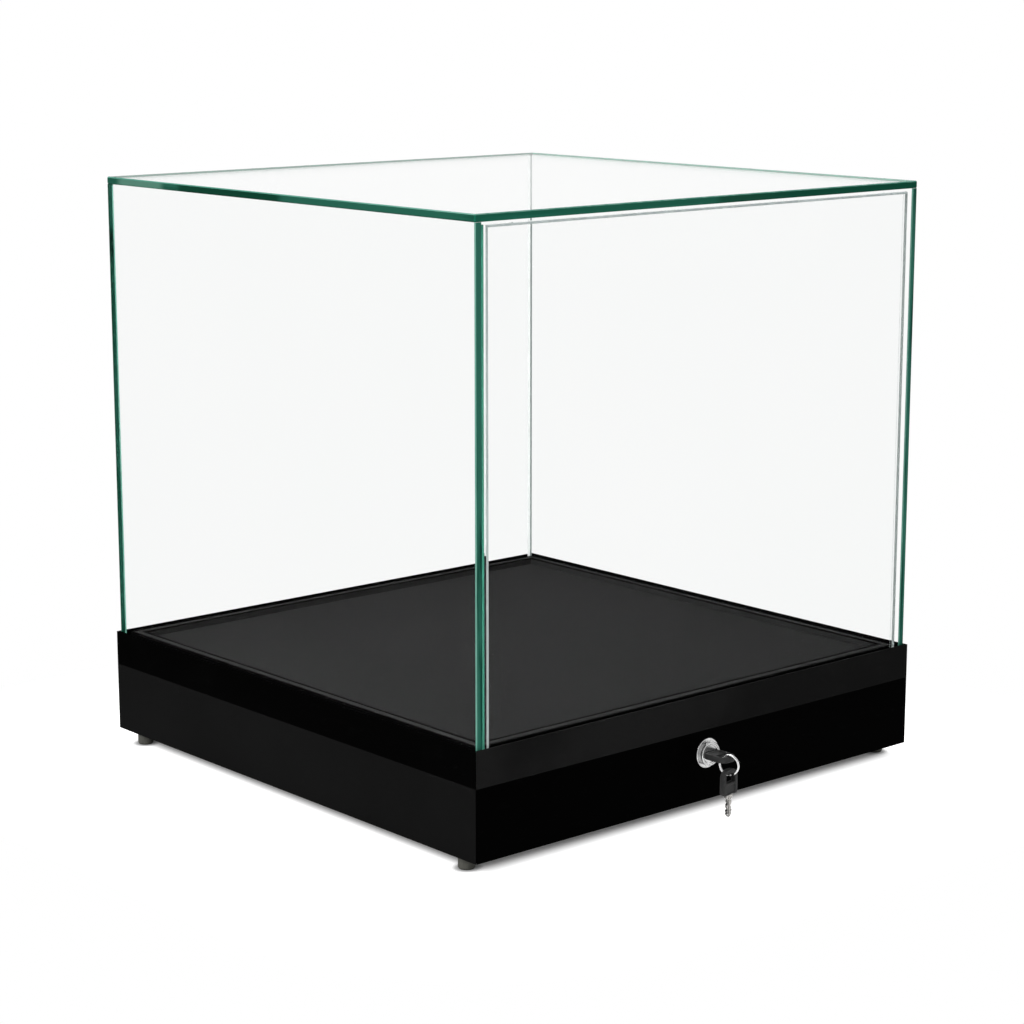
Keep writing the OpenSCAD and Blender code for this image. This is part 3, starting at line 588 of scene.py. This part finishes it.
# %% The edges of the five panes
deep_edge = [new_edge_glass("deep_green_edge", DEEP_GREEN, SEA_GREEN, axis) for axis in range(3)]
soft_edge = new_edge_glass("soft_green_edge", SOFT_GREEN, SEA_GREEN, 1)
bright_arris = new_edge_glass("bright_ground_bevel", (0.07, 0.24, 0.18, 1),
                              (0.14, 0.32, 0.26, 1), 0, roughness=0.4)
pale_arris = new_edge_glass("pale_ground_bevel", (0.30, 0.34, 0.335, 1),
                            (0.36, 0.40, 0.395, 1), 0, roughness=0.4)
shaded_edge = new_edge_glass("shaded_corner_edge", (0.006, 0.056, 0.034, 1),
                             (0.014, 0.088, 0.058, 1), 0)
# Painted shade: a darker patch near the top of the left pane's rear edge.
add_painted_light_patch(shaded_edge, "Z", start=0.345, end=0.375, colour=(0.001, 0.018, 0.010, 1))
left_top_edge = new_edge_glass("left_top_edge", (0.006, 0.058, 0.036, 1),
                               (0.012, 0.080, 0.052, 1), 2)
# Painted shade on the front part of the top pane's left edge, and a painted highlight further back.
add_painted_light_patch(left_top_edge, "Y", start=-0.01, end=0.115, colour=(0.0004, 0.031, 0.016, 1))
add_painted_light_patch(left_top_edge, "Y", start=0.125, end=0.188, colour=(0.060, 0.155, 0.115, 1))
# The front edge of the top pane is painted a brighter green than the left one, as painted light: it
# gets less light and still looks as green.
painted_light_front_top_edge = new_edge_glass("painted_light_front_top_edge", (0.007, 0.110, 0.066, 1),
                                (0.014, 0.135, 0.086, 1), 2)
# Painted shade on the right half of the top pane's front edge.
add_painted_light_patch(painted_light_front_top_edge, "X", start=0.0, end=0.25, colour=(0.001, 0.066, 0.036, 1))
end_line = two_sided_edge("joined_end_line", 1, LINE_GREY)
end_rest = two_sided_edge("joined_end_rest", 1, NEAR_WHITE)
right_line = two_sided_edge("right_line_edge", 1, LINE_GREY)
back_edge = two_sided_edge("glued_corner_edge", 0, PALE_GREY)
far_edge = two_sided_edge("far_top_edge", 2, FAR_GREEN)
print("edges:", deep_edge[0].name, bright_arris.name, pale_arris.name, shaded_edge.name)

# %% [markdown]
# ## New pieces
#
# New pieces are modelled with bmesh operators. The objects stay at the origin, unturned and
# unscaled, so that a place in the mesh is a place in the frame. Every piece rides on a body, which
# carries it along when the drawer opens or the key turns.

# %% Directions, and keeping a piece
UP, DOWN = Vector((0, 0, 1)), Vector((0, 0, -1))
FRONT, BACK = Vector((0, -1, 0)), Vector((0, 1, 0))
LEFT, RIGHT = Vector((-1, 0, 0)), Vector((1, 0, 0))
AXES = (RIGHT, BACK, UP)
ALL_WAYS = (UP, DOWN, FRONT, BACK, LEFT, RIGHT)


def keep_mesh(shape, name, materials, body):
    """Turns a finished bmesh into a piece that rides on a body."""
    bmesh.ops.recalc_face_normals(shape, faces=shape.faces)
    mesh = bpy.data.meshes.new(name)
    shape.to_mesh(mesh)
    shape.free()
    for material in materials:
        mesh.materials.append(material)
    piece = bpy.data.objects.new(name, mesh)
    bpy.context.scene.collection.objects.link(piece)
    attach(piece, body)
    return piece


print("directions:", len(ALL_WAYS))

# %% [markdown]
# ### Cutting the panes
#
# A CAD pane has sharp edges and one material, so the panes are cut anew. Each starts as a cube
# that is scaled to the size of its CAD pane. A bevel takes the sharp edges off, as a glazier's
# stone does. Then each face gets its material from its direction: the two large faces are clear,
# the cut edges are green, and anything slanted is a ground bevel.

# %% Which way a face looks
STRAIGHT = 0.99
LEANING = 0.5


def looks(face, ways):
    """Whether a face looks in one of these directions."""
    return any(face.normal.dot(way) > STRAIGHT for way in ways)


def leans(face, way):
    """Whether a face looks roughly in a direction."""
    return face.normal.dot(way) > LEANING


print("straight:", STRAIGHT, "leaning:", LEANING)

# %% Cuts and bevels of a pane
SHARP_ANGLE = math.radians(70)
ARRIS = 0.7 * MM
FINE_ARRIS = 0.15 * MM


def cut_across(shape, faces, axis, place):
    """Cuts some faces of a shape along a plane across an axis."""
    edges = [edge for edge in shape.edges if any(face in faces for face in edge.link_faces)]
    points = [point for point in shape.verts if any(face in faces for face in point.link_faces)]
    where = Vector((0, 0, 0))
    where[axis] = place
    bmesh.ops.bisect_plane(shape, geom=faces + edges + points, plane_co=where,
                           plane_no=AXES[axis])


def split_side(shape, way, axis, place):
    """Cuts the faces that look in a direction along a line, at a place on an axis."""
    cut_across(shape, [face for face in shape.faces if looks(face, [way])], axis, place)


def round_off(shape, geom, offset, segments, affect="EDGES"):
    """Bevels edges or corner points. One segment gives a flat bevel, and more make it round."""
    bmesh.ops.bevel(shape, geom=geom, offset=offset, affect=affect, segments=segments,
                    profile=0.5, material=-1)


def grind(shape, width, *, of=ALL_WAYS, between=ALL_WAYS, joined=()):
    """Bevels the sharp edges of the sides that look in these directions, except at a glued joint.
    With between, both sides of an edge must look in one of those directions."""
    edges = []
    for edge in shape.edges:
        faces = edge.link_faces
        sharp = edge.calc_face_angle(0) > SHARP_ANGLE
        chosen = any(looks(face, of) for face in faces)
        chosen = chosen and all(looks(face, between) for face in faces)
        if sharp and chosen and not any(looks(face, joined) for face in faces):
            edges.append(edge)
    round_off(shape, edges, width, segments=1)
    shape.normal_update()


print("bevels:", ARRIS, "m and", FINE_ARRIS, "m")

# %% [markdown]
# Two panes that are glued don't quite touch here, as faces in one place would render black. The
# glue line between them is far too thin to be seen.

# %% From a block to a pane
GLUE_LINE = 0.03 * MM
CLEAR, CUT, GROUND, LINED, FRONT_CUT = range(5)


def pane_block(node, joined=()):
    """The block that a pane is cut from, and the axis along which it is thin. It stops a glue
    line short of the next pane on the sides that are joined to one."""
    low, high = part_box(node)
    for way in joined:
        if sum(way) > 0:
            high -= way * GLUE_LINE
        else:
            low -= way * GLUE_LINE
    size = high - low
    shape = bmesh.new()
    bmesh.ops.create_cube(shape, size=1)
    bmesh.ops.scale(shape, vec=size, verts=shape.verts)
    bmesh.ops.translate(shape, vec=(low + high) / 2, verts=shape.verts)
    return shape, min(range(3), key=lambda axis: size[axis])


def mark_sides(shape, thin, joined=(), lined=()):
    """Gives each face of a pane the material of its kind of side."""
    for face in shape.faces:
        if abs(face.normal[thin]) > STRAIGHT or looks(face, joined):
            face.material_index = CLEAR
        elif looks(face, lined):
            face.material_index = LINED
        elif looks(face, ALL_WAYS):
            face.material_index = CUT
        else:
            face.material_index = GROUND


def share_of(node, axis, share):
    """The place at a share of the way along an axis from the low to the high side of a part."""
    low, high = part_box(node)
    return low[axis] + share * (high[axis] - low[axis])


def keep_pane(node, body, shape, *edge_materials):
    """Keeps a cut pane and hides the CAD pane that it stands for."""
    pane = keep_mesh(shape, "pane_" + node.removeprefix("glass_"),
                     [clear_glass, *edge_materials], body)
    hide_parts(node)


print("glue line:", GLUE_LINE, "m")

# %% [markdown]
# The rear edge of the left pane lies in shade, and is painted darker as painted shade. The back
# pane is glued between the side panes, so its ends have no bevels. Seen through the right pane, its
# right end is green. Seen from inside, the front part of that end is painted as the grey line of
# the far corner, and the rest of it is painted as good as white, a painted light that melts into
# the backdrop.

# %% Cut the left pane and the back pane
END_LINE_SHARE = 0.40

shape, thin = pane_block("glass_left", [UP])
grind(shape, FINE_ARRIS, between=[FRONT, RIGHT])
grind(shape, ARRIS, joined=[UP])
mark_sides(shape, thin, [UP], lined=[BACK])
keep_pane("glass_left", "case", shape, deep_edge[thin], bright_arris, shaded_edge)

back_joints = [UP, LEFT, RIGHT]
shape, thin = pane_block("glass_back", back_joints)
grind(shape, ARRIS, joined=back_joints)
mark_sides(shape, thin, back_joints)
line_until = share_of("glass_back", 1, END_LINE_SHARE)
split_side(shape, RIGHT, 1, line_until)
for face in shape.faces:
    if looks(face, [RIGHT]):
        behind = face.calc_center_median().y > line_until
        face.material_index = FRONT_CUT if behind else LINED
keep_pane("glass_back", "case", shape, deep_edge[thin], pale_arris, end_line, end_rest)
print("panes cut: left, back")

# %% [markdown]
# The far corner of the case shows as a thin pale line, and not as the whole thickness of the glass.
# So the back edge of the right pane is cut lengthwise, and only its outer part is painted pale, as
# painted light seen from inside. The top pane hides its lower bevels and its corners in its dark
# edges. Its front edge gets less light than its left edge, and is painted a brighter green as
# painted light, so that it looks as green. Its far edges show a paler green from inside, which is
# painted light too.

# %% Cut the right pane and the top pane
PALE_SHARE = 0.6

shape, thin = pane_block("glass_right", [UP])
grind(shape, ARRIS, joined=[UP, BACK])
mark_sides(shape, thin, [UP], lined=[BACK])
pale_from = share_of("glass_right", 0, 1 - PALE_SHARE)
split_side(shape, BACK, 0, pale_from)
for face in shape.faces:
    if face.material_index == LINED and face.calc_center_median().x < pale_from:
        face.material_index = CLEAR
keep_pane("glass_right", "case", shape, deep_edge[thin], bright_arris, back_edge)

shape, thin = pane_block("glass_top")
grind(shape, ARRIS)
mark_sides(shape, thin, lined=[BACK, RIGHT])
for face in shape.faces:
    if face.material_index == GROUND and not leans(face, UP):
        face.material_index = CUT
    if face.material_index == CUT and leans(face, FRONT):
        face.material_index = FRONT_CUT
keep_pane("glass_top", "case", shape, left_top_edge, bright_arris, far_edge, painted_light_front_top_edge)
print("panes cut: right, top")

# %% [markdown]
# The front pane stands a little inside the side panes, so its edges can be seen past theirs. They
# are polished, and show as a clear strip beside a pale front bevel, which is widest on top. Only
# the rear part of the left edge is green, where it lies close behind the edge of the left pane.
# The right edge is seen from inside, and its front part is painted as a pale line, a painted light.

# %% Cut the front pane
GREEN_SHARE = 0.42
LINE_SHARE = 0.7
SIDE_ARRIS = 1.0 * MM
TOP_ARRIS = 1.4 * MM

shape, thin = pane_block("glass_front")
grind(shape, TOP_ARRIS, between=[FRONT, UP])
grind(shape, SIDE_ARRIS, of=[FRONT])
grind(shape, FINE_ARRIS, of=[BACK])
mark_sides(shape, thin)
green_from = share_of("glass_front", 1, 1 - GREEN_SHARE)
line_to = share_of("glass_front", 1, LINE_SHARE)
split_side(shape, LEFT, 1, green_from)
split_side(shape, RIGHT, 1, line_to)
for face in shape.faces:
    middle = face.calc_center_median()
    if leans(face, LEFT) and middle.y > green_from:
        face.material_index = LINED
    if leans(face, RIGHT) and middle.y < line_to:
        face.material_index = FRONT_CUT
keep_pane("glass_front", "drawer", shape, clear_glass, pale_arris, soft_edge, right_line)
print("pane cut: front")

# %% [markdown]
# ## The trim around the deck
#
# The raised border of the deck wears a thin grey cap, flush with the rails. Along its inner edge
# lies a thin black strip, raised a little above the cap: it is painted shade, and stands for the
# shadow line in the step between border and deck. Both are the same kind of frame: one flat face,
# an inset that makes a ring of it, the middle deleted, and the ring raised and rounded at its upper
# edges.

# %% A frame from a flat sheet
TRIM_ROUND = 0.12 * MM


def flat_sheet(width, depth, middle=(0, 0, 0)):
    """One flat face around a middle."""
    shape = bmesh.new()
    bmesh.ops.create_grid(shape, x_segments=1, y_segments=1, size=0.5)
    bmesh.ops.scale(shape, vec=(width, depth, 1), verts=shape.verts)
    bmesh.ops.translate(shape, vec=middle, verts=shape.verts)
    return shape


def raise_sheet(shape, height):
    """Gives a flat sheet a thickness, and returns the points of its upper side."""
    raised = bmesh.ops.extrude_face_region(shape, geom=shape.faces[:], use_keep_orig=True)
    points = [item for item in raised["geom"] if isinstance(item, bmesh.types.BMVert)]
    bmesh.ops.translate(shape, vec=(0, 0, height), verts=points)
    return points


def flat_frame(low, high, width, height):
    """A rectangular frame on the face between two corners that is raised and rounded."""
    shape = flat_sheet(high.x - low.x, high.y - low.y, (low + high) / 2)
    middle = shape.faces[:]
    bmesh.ops.inset_region(shape, faces=middle, thickness=width, use_boundary=True,
                           use_even_offset=True)
    bmesh.ops.delete(shape, geom=middle, context="FACES")
    points = raise_sheet(shape, height)
    shape.normal_update()
    rims = [edge for edge in shape.edges if all(point in points for point in edge.verts)
            and any(abs(face.normal.z) < LEANING for face in edge.link_faces)]
    round_off(shape, rims, TRIM_ROUND, segments=2)
    return shape


print("rounding:", TRIM_ROUND, "m")

# %% Lay the cap and the strip of painted shade
BORDER_WIDTH = 6.0 * MM
SHADE_STRIP_WIDTH = 1.5 * MM
SHADE_STRIP_RISE = 0.2 * MM

border_low, border_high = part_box("deck_border")
border_low.z = border_high.z
cap_width = BORDER_WIDTH - SHADE_STRIP_WIDTH
cap_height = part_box("rail_left")[1].z - border_high.z
cap_shape = flat_frame(border_low, border_high, cap_width, cap_height)
cap = keep_mesh(cap_shape, "deck_border_cap", [finishes["border_metal"]], "drawer")
# The black strip inside the cap is painted shade.
inward = Vector((cap_width, cap_width, 0))
shade_strip_shape = flat_frame(border_low + inward, border_high - inward, SHADE_STRIP_WIDTH,
                        cap_height + SHADE_STRIP_RISE)
shade_strip = keep_mesh(shade_strip_shape, "deck_shade_strip", [finishes["bead_rubber"]], "drawer")
print("trim faces:", len(cap.data.polygons), len(shade_strip.data.polygons))

# %% [markdown]
# ## The key bows
#
# Both keys have the same plastic bow, so it is modelled once, lying flat around its own middle. A
# flat face gets round corners from a bevel of its corner points, and is cut across by planes. The
# piece where the ring passes is deleted and leaves the slot. Then the face is extruded to its
# thickness, the long edges are rounded, and a thumb recess is sunk into both sides.

# %% Sizes of a bow
BOW_BAR = 2.8 * MM
BOW_CORNER = 5.5 * MM
BOW_SHOULDER = 1.8 * MM
BOW_ROUND = 0.55 * MM
SLOT_WIDTH = 9.2 * MM
SLOT_LENGTH = 6.27 * MM
SLOT_ROUND = 0.25 * MM
RECESS_GAP = 1.2 * MM
RECESS_MARGIN = 2.4 * MM
RECESS_DEPTH = 0.5 * MM
RECESS_SLOPE = 0.3 * MM

bow_low, bow_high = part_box("key_bow")
bow_size = bow_high - bow_low
slot_near = -bow_size.y / 2 + BOW_BAR
slot_far = slot_near + SLOT_LENGTH
recess_near = slot_far + RECESS_GAP
recess_far = bow_size.y / 2 - RECESS_GAP
recess_reach = bow_size.x / 2 - RECESS_MARGIN
print("bow", [round(side / MM, 2) for side in bow_size], "mm, slot from", round(slot_near, 5))

# %% The outline of a bow
TOUCHING = 0.01 * MM


def middle_faces(shape, reach, near, far, level=None):
    """The faces whose middle is within reach of x = 0 and between near and far along y."""
    found = []
    for face in shape.faces:
        middle = face.calc_center_median()
        flat = level is None or abs(middle.z - level) < TOUCHING
        if abs(middle.x) < reach and near < middle.y < far and flat:
            found.append(face)
    return found


def bow_sheet():
    """A bow's flat outline with its slot, cut where the recess will be. Its outer end is at -Y."""
    shape = flat_sheet(bow_size.x, bow_size.y)
    outer = [point for point in shape.verts if point.co.y < 0]
    inner = [point for point in shape.verts if point.co.y > 0]
    round_off(shape, outer, BOW_CORNER, segments=10, affect="VERTICES")
    round_off(shape, inner, BOW_SHOULDER, segments=5, affect="VERTICES")
    for place in (slot_near, slot_far, recess_near, recess_far):
        cut_across(shape, shape.faces[:], 1, place)
    for place in (SLOT_WIDTH / 2, recess_reach):
        cut_across(shape, shape.faces[:], 0, -place)
        cut_across(shape, shape.faces[:], 0, place)
    bmesh.ops.delete(shape, geom=middle_faces(shape, SLOT_WIDTH / 2, slot_near, slot_far),
                     context="FACES")
    return shape


bow = bow_sheet()
print("outline of a bow:", len(bow.faces), "faces")

# %% Raise, round and recess the bow
def round_bow(shape):
    """Rounds the edges of the slot a little, and the outer edges of the bow more."""
    slot_rims = []
    outer_rims = []
    for edge in shape.edges:
        start, end = (point.co for point in edge.verts)
        level = abs(start.z - end.z) < TOUCHING
        if level and edge.calc_face_angle(0) > SHARP_ANGLE:
            middle = (start + end) / 2
            in_slot = (abs(middle.x) < SLOT_WIDTH / 2 + TOUCHING
                       and slot_near - TOUCHING < middle.y < slot_far + TOUCHING)
            (slot_rims if in_slot else outer_rims).append(edge)
    round_off(shape, slot_rims, SLOT_ROUND, segments=2)
    round_off(shape, [edge for edge in outer_rims if edge.is_valid], BOW_ROUND, segments=4)


raise_sheet(bow, bow_size.z)
bmesh.ops.translate(bow, vec=(0, 0, -bow_size.z / 2), verts=bow.verts)
bmesh.ops.recalc_face_normals(bow, faces=bow.faces)
round_bow(bow)
for side in (-1, 1):
    field = middle_faces(bow, recess_reach, recess_near, recess_far, level=side * bow_size.z / 2)
    bmesh.ops.inset_region(bow, faces=field, thickness=RECESS_SLOPE, depth=-RECESS_DEPTH,
                           use_even_offset=True)
print("bow:", len(bow.faces), "faces")

# %% [markdown]
# The bow of the key in the lock lies flat, and its outer end points forwards. The spare key hangs
# from the ring with its blade down, turned a little to the left. Each gets a copy of the bow, which
# is turned by these angles and moved to the middle of its CAD bow, so that it lies exactly there.

# %% Place the two bows
SPARE_TURN = math.radians(6)
HANGING = Matrix.Rotation(SPARE_TURN, 4, "Z") @ Matrix.Rotation(math.radians(-90), 4, "X")
BOW_SMOOTH_BELOW = 35


def smooth_by_angle(piece, degrees):
    """Shades a piece smoothly except across edges sharper than an angle."""
    piece.data.shade_smooth()
    edges = bmesh.new()
    edges.from_mesh(piece.data)
    for edge in edges.edges:
        edge.smooth = edge.calc_face_angle(0) < math.radians(degrees)
    edges.to_mesh(piece.data)
    edges.free()


def place_bow(node, body, turn):
    """Puts a copy of the bow in the place of a CAD bow, turned round its own middle."""
    low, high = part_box(node)
    shape = bow.copy()
    bmesh.ops.transform(shape, matrix=Matrix.Translation((low + high) / 2) @ turn,
                        verts=shape.verts)
    piece = keep_mesh(shape, "moulded_" + node, [finishes["bow_plastic"]], body)
    smooth_by_angle(piece, BOW_SMOOTH_BELOW)
    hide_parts(node)


place_bow("key_bow", "key", Matrix.Identity(4))
place_bow("spare_key_bow", "spare_key", HANGING)
bow.free()
print("bows placed: 2")

# %% [markdown]
# ## The split ring
#
# A split ring is one flat wire that goes round twice. Each turn lies flat beside the other, and
# in between the wire crosses over, so both free ends lie against the crossover. A torus would be
# one closed round bar. Spin makes the real thing: it turns the wire's section round the axis, and
# its dvec moves it sideways on the way.

# %% Wind the ring
RING_TURN = math.radians(-70)
RING_ROLL = math.radians(50)
RING_SMOOTH_BELOW = 40
COIL_WIDTH = 0.8 * MM
COIL_FILL = 0.98
WIRE = 1.1 * MM
WIRE_ROUND = 0.25 * MM
CROSSOVER = math.radians(30)
STEPS_A_TURN = 96

ring_low, ring_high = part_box("key_ring")
wire_middle = (ring_high.z - ring_low.z - WIRE) / 2
coil = flat_sheet(WIRE, COIL_WIDTH * COIL_FILL)
round_off(coil, coil.verts[:], WIRE_ROUND, segments=3, affect="VERTICES")
bmesh.ops.rotate(coil, matrix=Matrix.Rotation(math.radians(90), 3, "X"), verts=coil.verts)
bmesh.ops.translate(coil, vec=(wire_middle, 0, -COIL_WIDTH / 2), verts=coil.verts)
tip = coil.faces[:] + coil.edges[:] + coil.verts[:]
for angle, shift in ((math.tau - CROSSOVER, 0.0), (CROSSOVER, COIL_WIDTH),
                     (math.tau - CROSSOVER, 0.0)):
    steps = round(STEPS_A_TURN * angle / math.tau)
    spun = bmesh.ops.spin(coil, geom=tip, axis=(0, 0, 1), cent=(0, 0, 0), angle=angle,
                          steps=steps, dvec=(0, 0, shift / steps), use_duplicate=False)
    tip = spun["geom_last"]
bmesh.ops.remove_doubles(coil, verts=coil.verts, dist=0.001 * MM)
ring_place = (Matrix.Translation((ring_low + ring_high) / 2)
              @ Matrix.Rotation(RING_TURN, 4, "Z") @ Matrix.Rotation(RING_ROLL, 4, "Y")
              @ Matrix.Rotation(math.pi / 2, 4, "X"))
bmesh.ops.transform(coil, verts=coil.verts, matrix=ring_place)
ring = keep_mesh(coil, "split_ring", [finishes["ring_chrome"]], "key_ring")
smooth_by_angle(ring, RING_SMOOTH_BELOW)
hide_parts("key_ring")
print("ring faces:", len(ring.data.polygons))

# %% [markdown]
# ## Dressing the CAD parts
#
# Every CAD part that stays in view carries the name of its finish in its material slot. Going
# through them once puts the right finish on each of them.

# %% Put the finishes on
for name, part in cad_nodes.items():
    slot = part.data.materials[0].name.split(".")[0]
    if slot in finishes:
        part.data.materials[0] = finishes[slot]
    if name in node_finish:
        part.data.materials[0] = node_finish[name]
print("dressed", len(cad_nodes), "parts")

# %% [markdown]
# ## Floor and backdrop
#
# A shop picture is shot on pure white, and what remains of the floor is a narrow grey shadow. The
# floor is a pale disc. The camera gets real light from it, which carries the shadow, and a plain
# white glow on top. The glow starts a little inside the edges of the case, where the eye first sees
# the floor under it, so a dark line of shadow stays along the base. Close around each foot both are
# weak: the floor's colour is painted darker there as a painted shadow, and the glow fades. Far out
# the glow is all there is, and the floor melts into the backdrop.

# %% Where the floor is white
BASE_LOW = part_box("side_panel_left")[0]
SHADOW_INSET = 2.0 * BASE_LOW.z
SHADOW_START = -BASE_LOW.x - SHADOW_INSET
GLOW_WIDTH = 0.016
GLOW_LOW = 0.10
GLOW_HIGH = 0.88
FOOT_RADIUS = 5.5 * MM
# FOOT_SHADE darkens the floor's own colour close around each foot: a painted shadow.
FOOT_SHADE = 0.25
FOOT_SHADE_START = 0.9 * FOOT_RADIUS
FOOT_SHADE_END = 2.2 * FOOT_RADIUS
WHITE_START = 0.03
WHITE_END = 0.20


def white_rays(tree):
    """A socket that is 1 for what is seen directly, in a mirror or through glass."""
    path = add_node(tree, "LightPath")
    mirrored = math_node(tree, "MAXIMUM", path.outputs["Is Camera Ray"],
                         path.outputs["Is Glossy Ray"])
    return math_node(tree, "MAXIMUM", mirrored, path.outputs["Is Transmission Ray"])


def distance_outside(tree, place, reach):
    """The distance on the floor from a square around the origin that reaches so far each way."""
    squares = []
    for axis in "XY":
        mirrored = math_node(tree, "ABSOLUTE", along(tree, place, axis))
        beyond = math_node(tree, "MAXIMUM", 0.0, math_node(tree, "SUBTRACT", mirrored, reach))
        squares.append(math_node(tree, "MULTIPLY", beyond, beyond))
    return math_node(tree, "SQRT", math_node(tree, "ADD", *squares))


def distance_from_feet(tree, place):
    """The distance on the floor from the middle of the nearest foot."""
    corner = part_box("feet")[1]
    middle = (corner.x - FOOT_RADIUS, corner.y - FOOT_RADIUS, 0)
    mirrored = vector_node(tree, "ABSOLUTE", place)
    distance = vector_node(tree, "DISTANCE", mirrored.outputs["Vector"], middle)
    return distance.outputs["Value"]


print("glow from", round(SHADOW_START, 4), "m, white", WHITE_END, "m on")

# %% The floor
FLOOR_RADIUS = 6.0
FLOOR_TONE = 0.86


def new_floor_material():
    material, tree, shader = new_material("pale_floor")
    place = object_place(tree)
    # The floor's colour is painted darker close around each foot, as a painted shadow, and the glow
    # is weaker there.
    foot = ramp(tree, distance_from_feet(tree, place), FOOT_SHADE_START, FOOT_SHADE_END,
                low=FOOT_SHADE)
    wire(tree, shader, Base_Color=math_node(tree, "MULTIPLY", foot, FLOOR_TONE), Roughness=0.9,
         Specular_IOR_Level=0.0)
    distance = distance_outside(tree, place, SHADOW_START)
    near = ramp(tree, distance, 0.0, GLOW_WIDTH, GLOW_LOW, GLOW_HIGH)
    far = ramp(tree, distance, WHITE_START, WHITE_END)
    seen = white_rays(tree)
    open_floor = math_node(tree, "MULTIPLY", near, foot)
    glow = add_node(tree, "Emission")
    wire(tree, glow, Strength=math_node(tree, "MULTIPLY", open_floor, seen))
    lit = add_node(tree, "AddShader")
    tree.links.new(shader.outputs["BSDF"], lit.inputs[0])
    tree.links.new(glow.outputs["Emission"], lit.inputs[1])
    white = add_node(tree, "Emission")
    show_mix(tree, math_node(tree, "MULTIPLY", far, seen), lit.outputs["Shader"],
             white.outputs["Emission"])
    return material


disc = bmesh.new()
bmesh.ops.create_circle(disc, cap_ends=True, segments=96, radius=FLOOR_RADIUS)
floor_mesh = bpy.data.meshes.new("floor")
disc.to_mesh(floor_mesh)
disc.free()
floor_mesh.materials.append(new_floor_material())
floor = bpy.data.objects.new("floor", floor_mesh)
bpy.context.scene.collection.objects.link(floor)
print("floor radius", FLOOR_RADIUS, "m")

# %% [markdown]
# The world is pure white where it is seen, directly, in a mirror or through glass. For the light
# on the case it is much weaker, so that the lamps draw the shapes and the black base keeps its
# depth.

# %% White world
WORLD_LEVEL = 0.32

world = bpy.data.worlds.new("white_room")
world.use_nodes = True
bpy.context.scene.world = world
sky = world.node_tree
strength = ramp(sky, white_rays(sky), 0.0, 1.0, low=WORLD_LEVEL, kind="LINEAR")
wire(sky, sky.nodes["Background"], Color=grey(1.0), Strength=strength)
print("world level:", WORLD_LEVEL)

# %% [markdown]
# ### Three soft lamps
#
# A large soft lamp on the left is the key. A weaker one from above evens out the deck, and a small
# one at the right front draws the glints on the lock and the keys.

# %% Lamps
CASE_MIDDLE = Vector((0, 0, 0.15))


def add_soft_lamp(name, place, width, power):
    """A square area lamp that faces the case."""
    lamp = bpy.data.lights.new(name, "AREA")
    lamp.shape = "SQUARE"
    lamp.size = width
    lamp.energy = power
    holder = bpy.data.objects.new(name, lamp)
    holder.location = place
    aim = CASE_MIDDLE - Vector(place)
    holder.rotation_euler = aim.to_track_quat("-Z", "Y").to_euler()
    bpy.context.scene.collection.objects.link(holder)


add_soft_lamp("key_lamp", (-2.4, -0.3, 1.5), width=1.6, power=62)
add_soft_lamp("top_lamp", (1.0, 0.5, 3.0), width=1.8, power=58)
add_soft_lamp("front_lamp", (1.3, -1.6, 0.4), width=0.5, power=3)
print("lamps placed: 3")
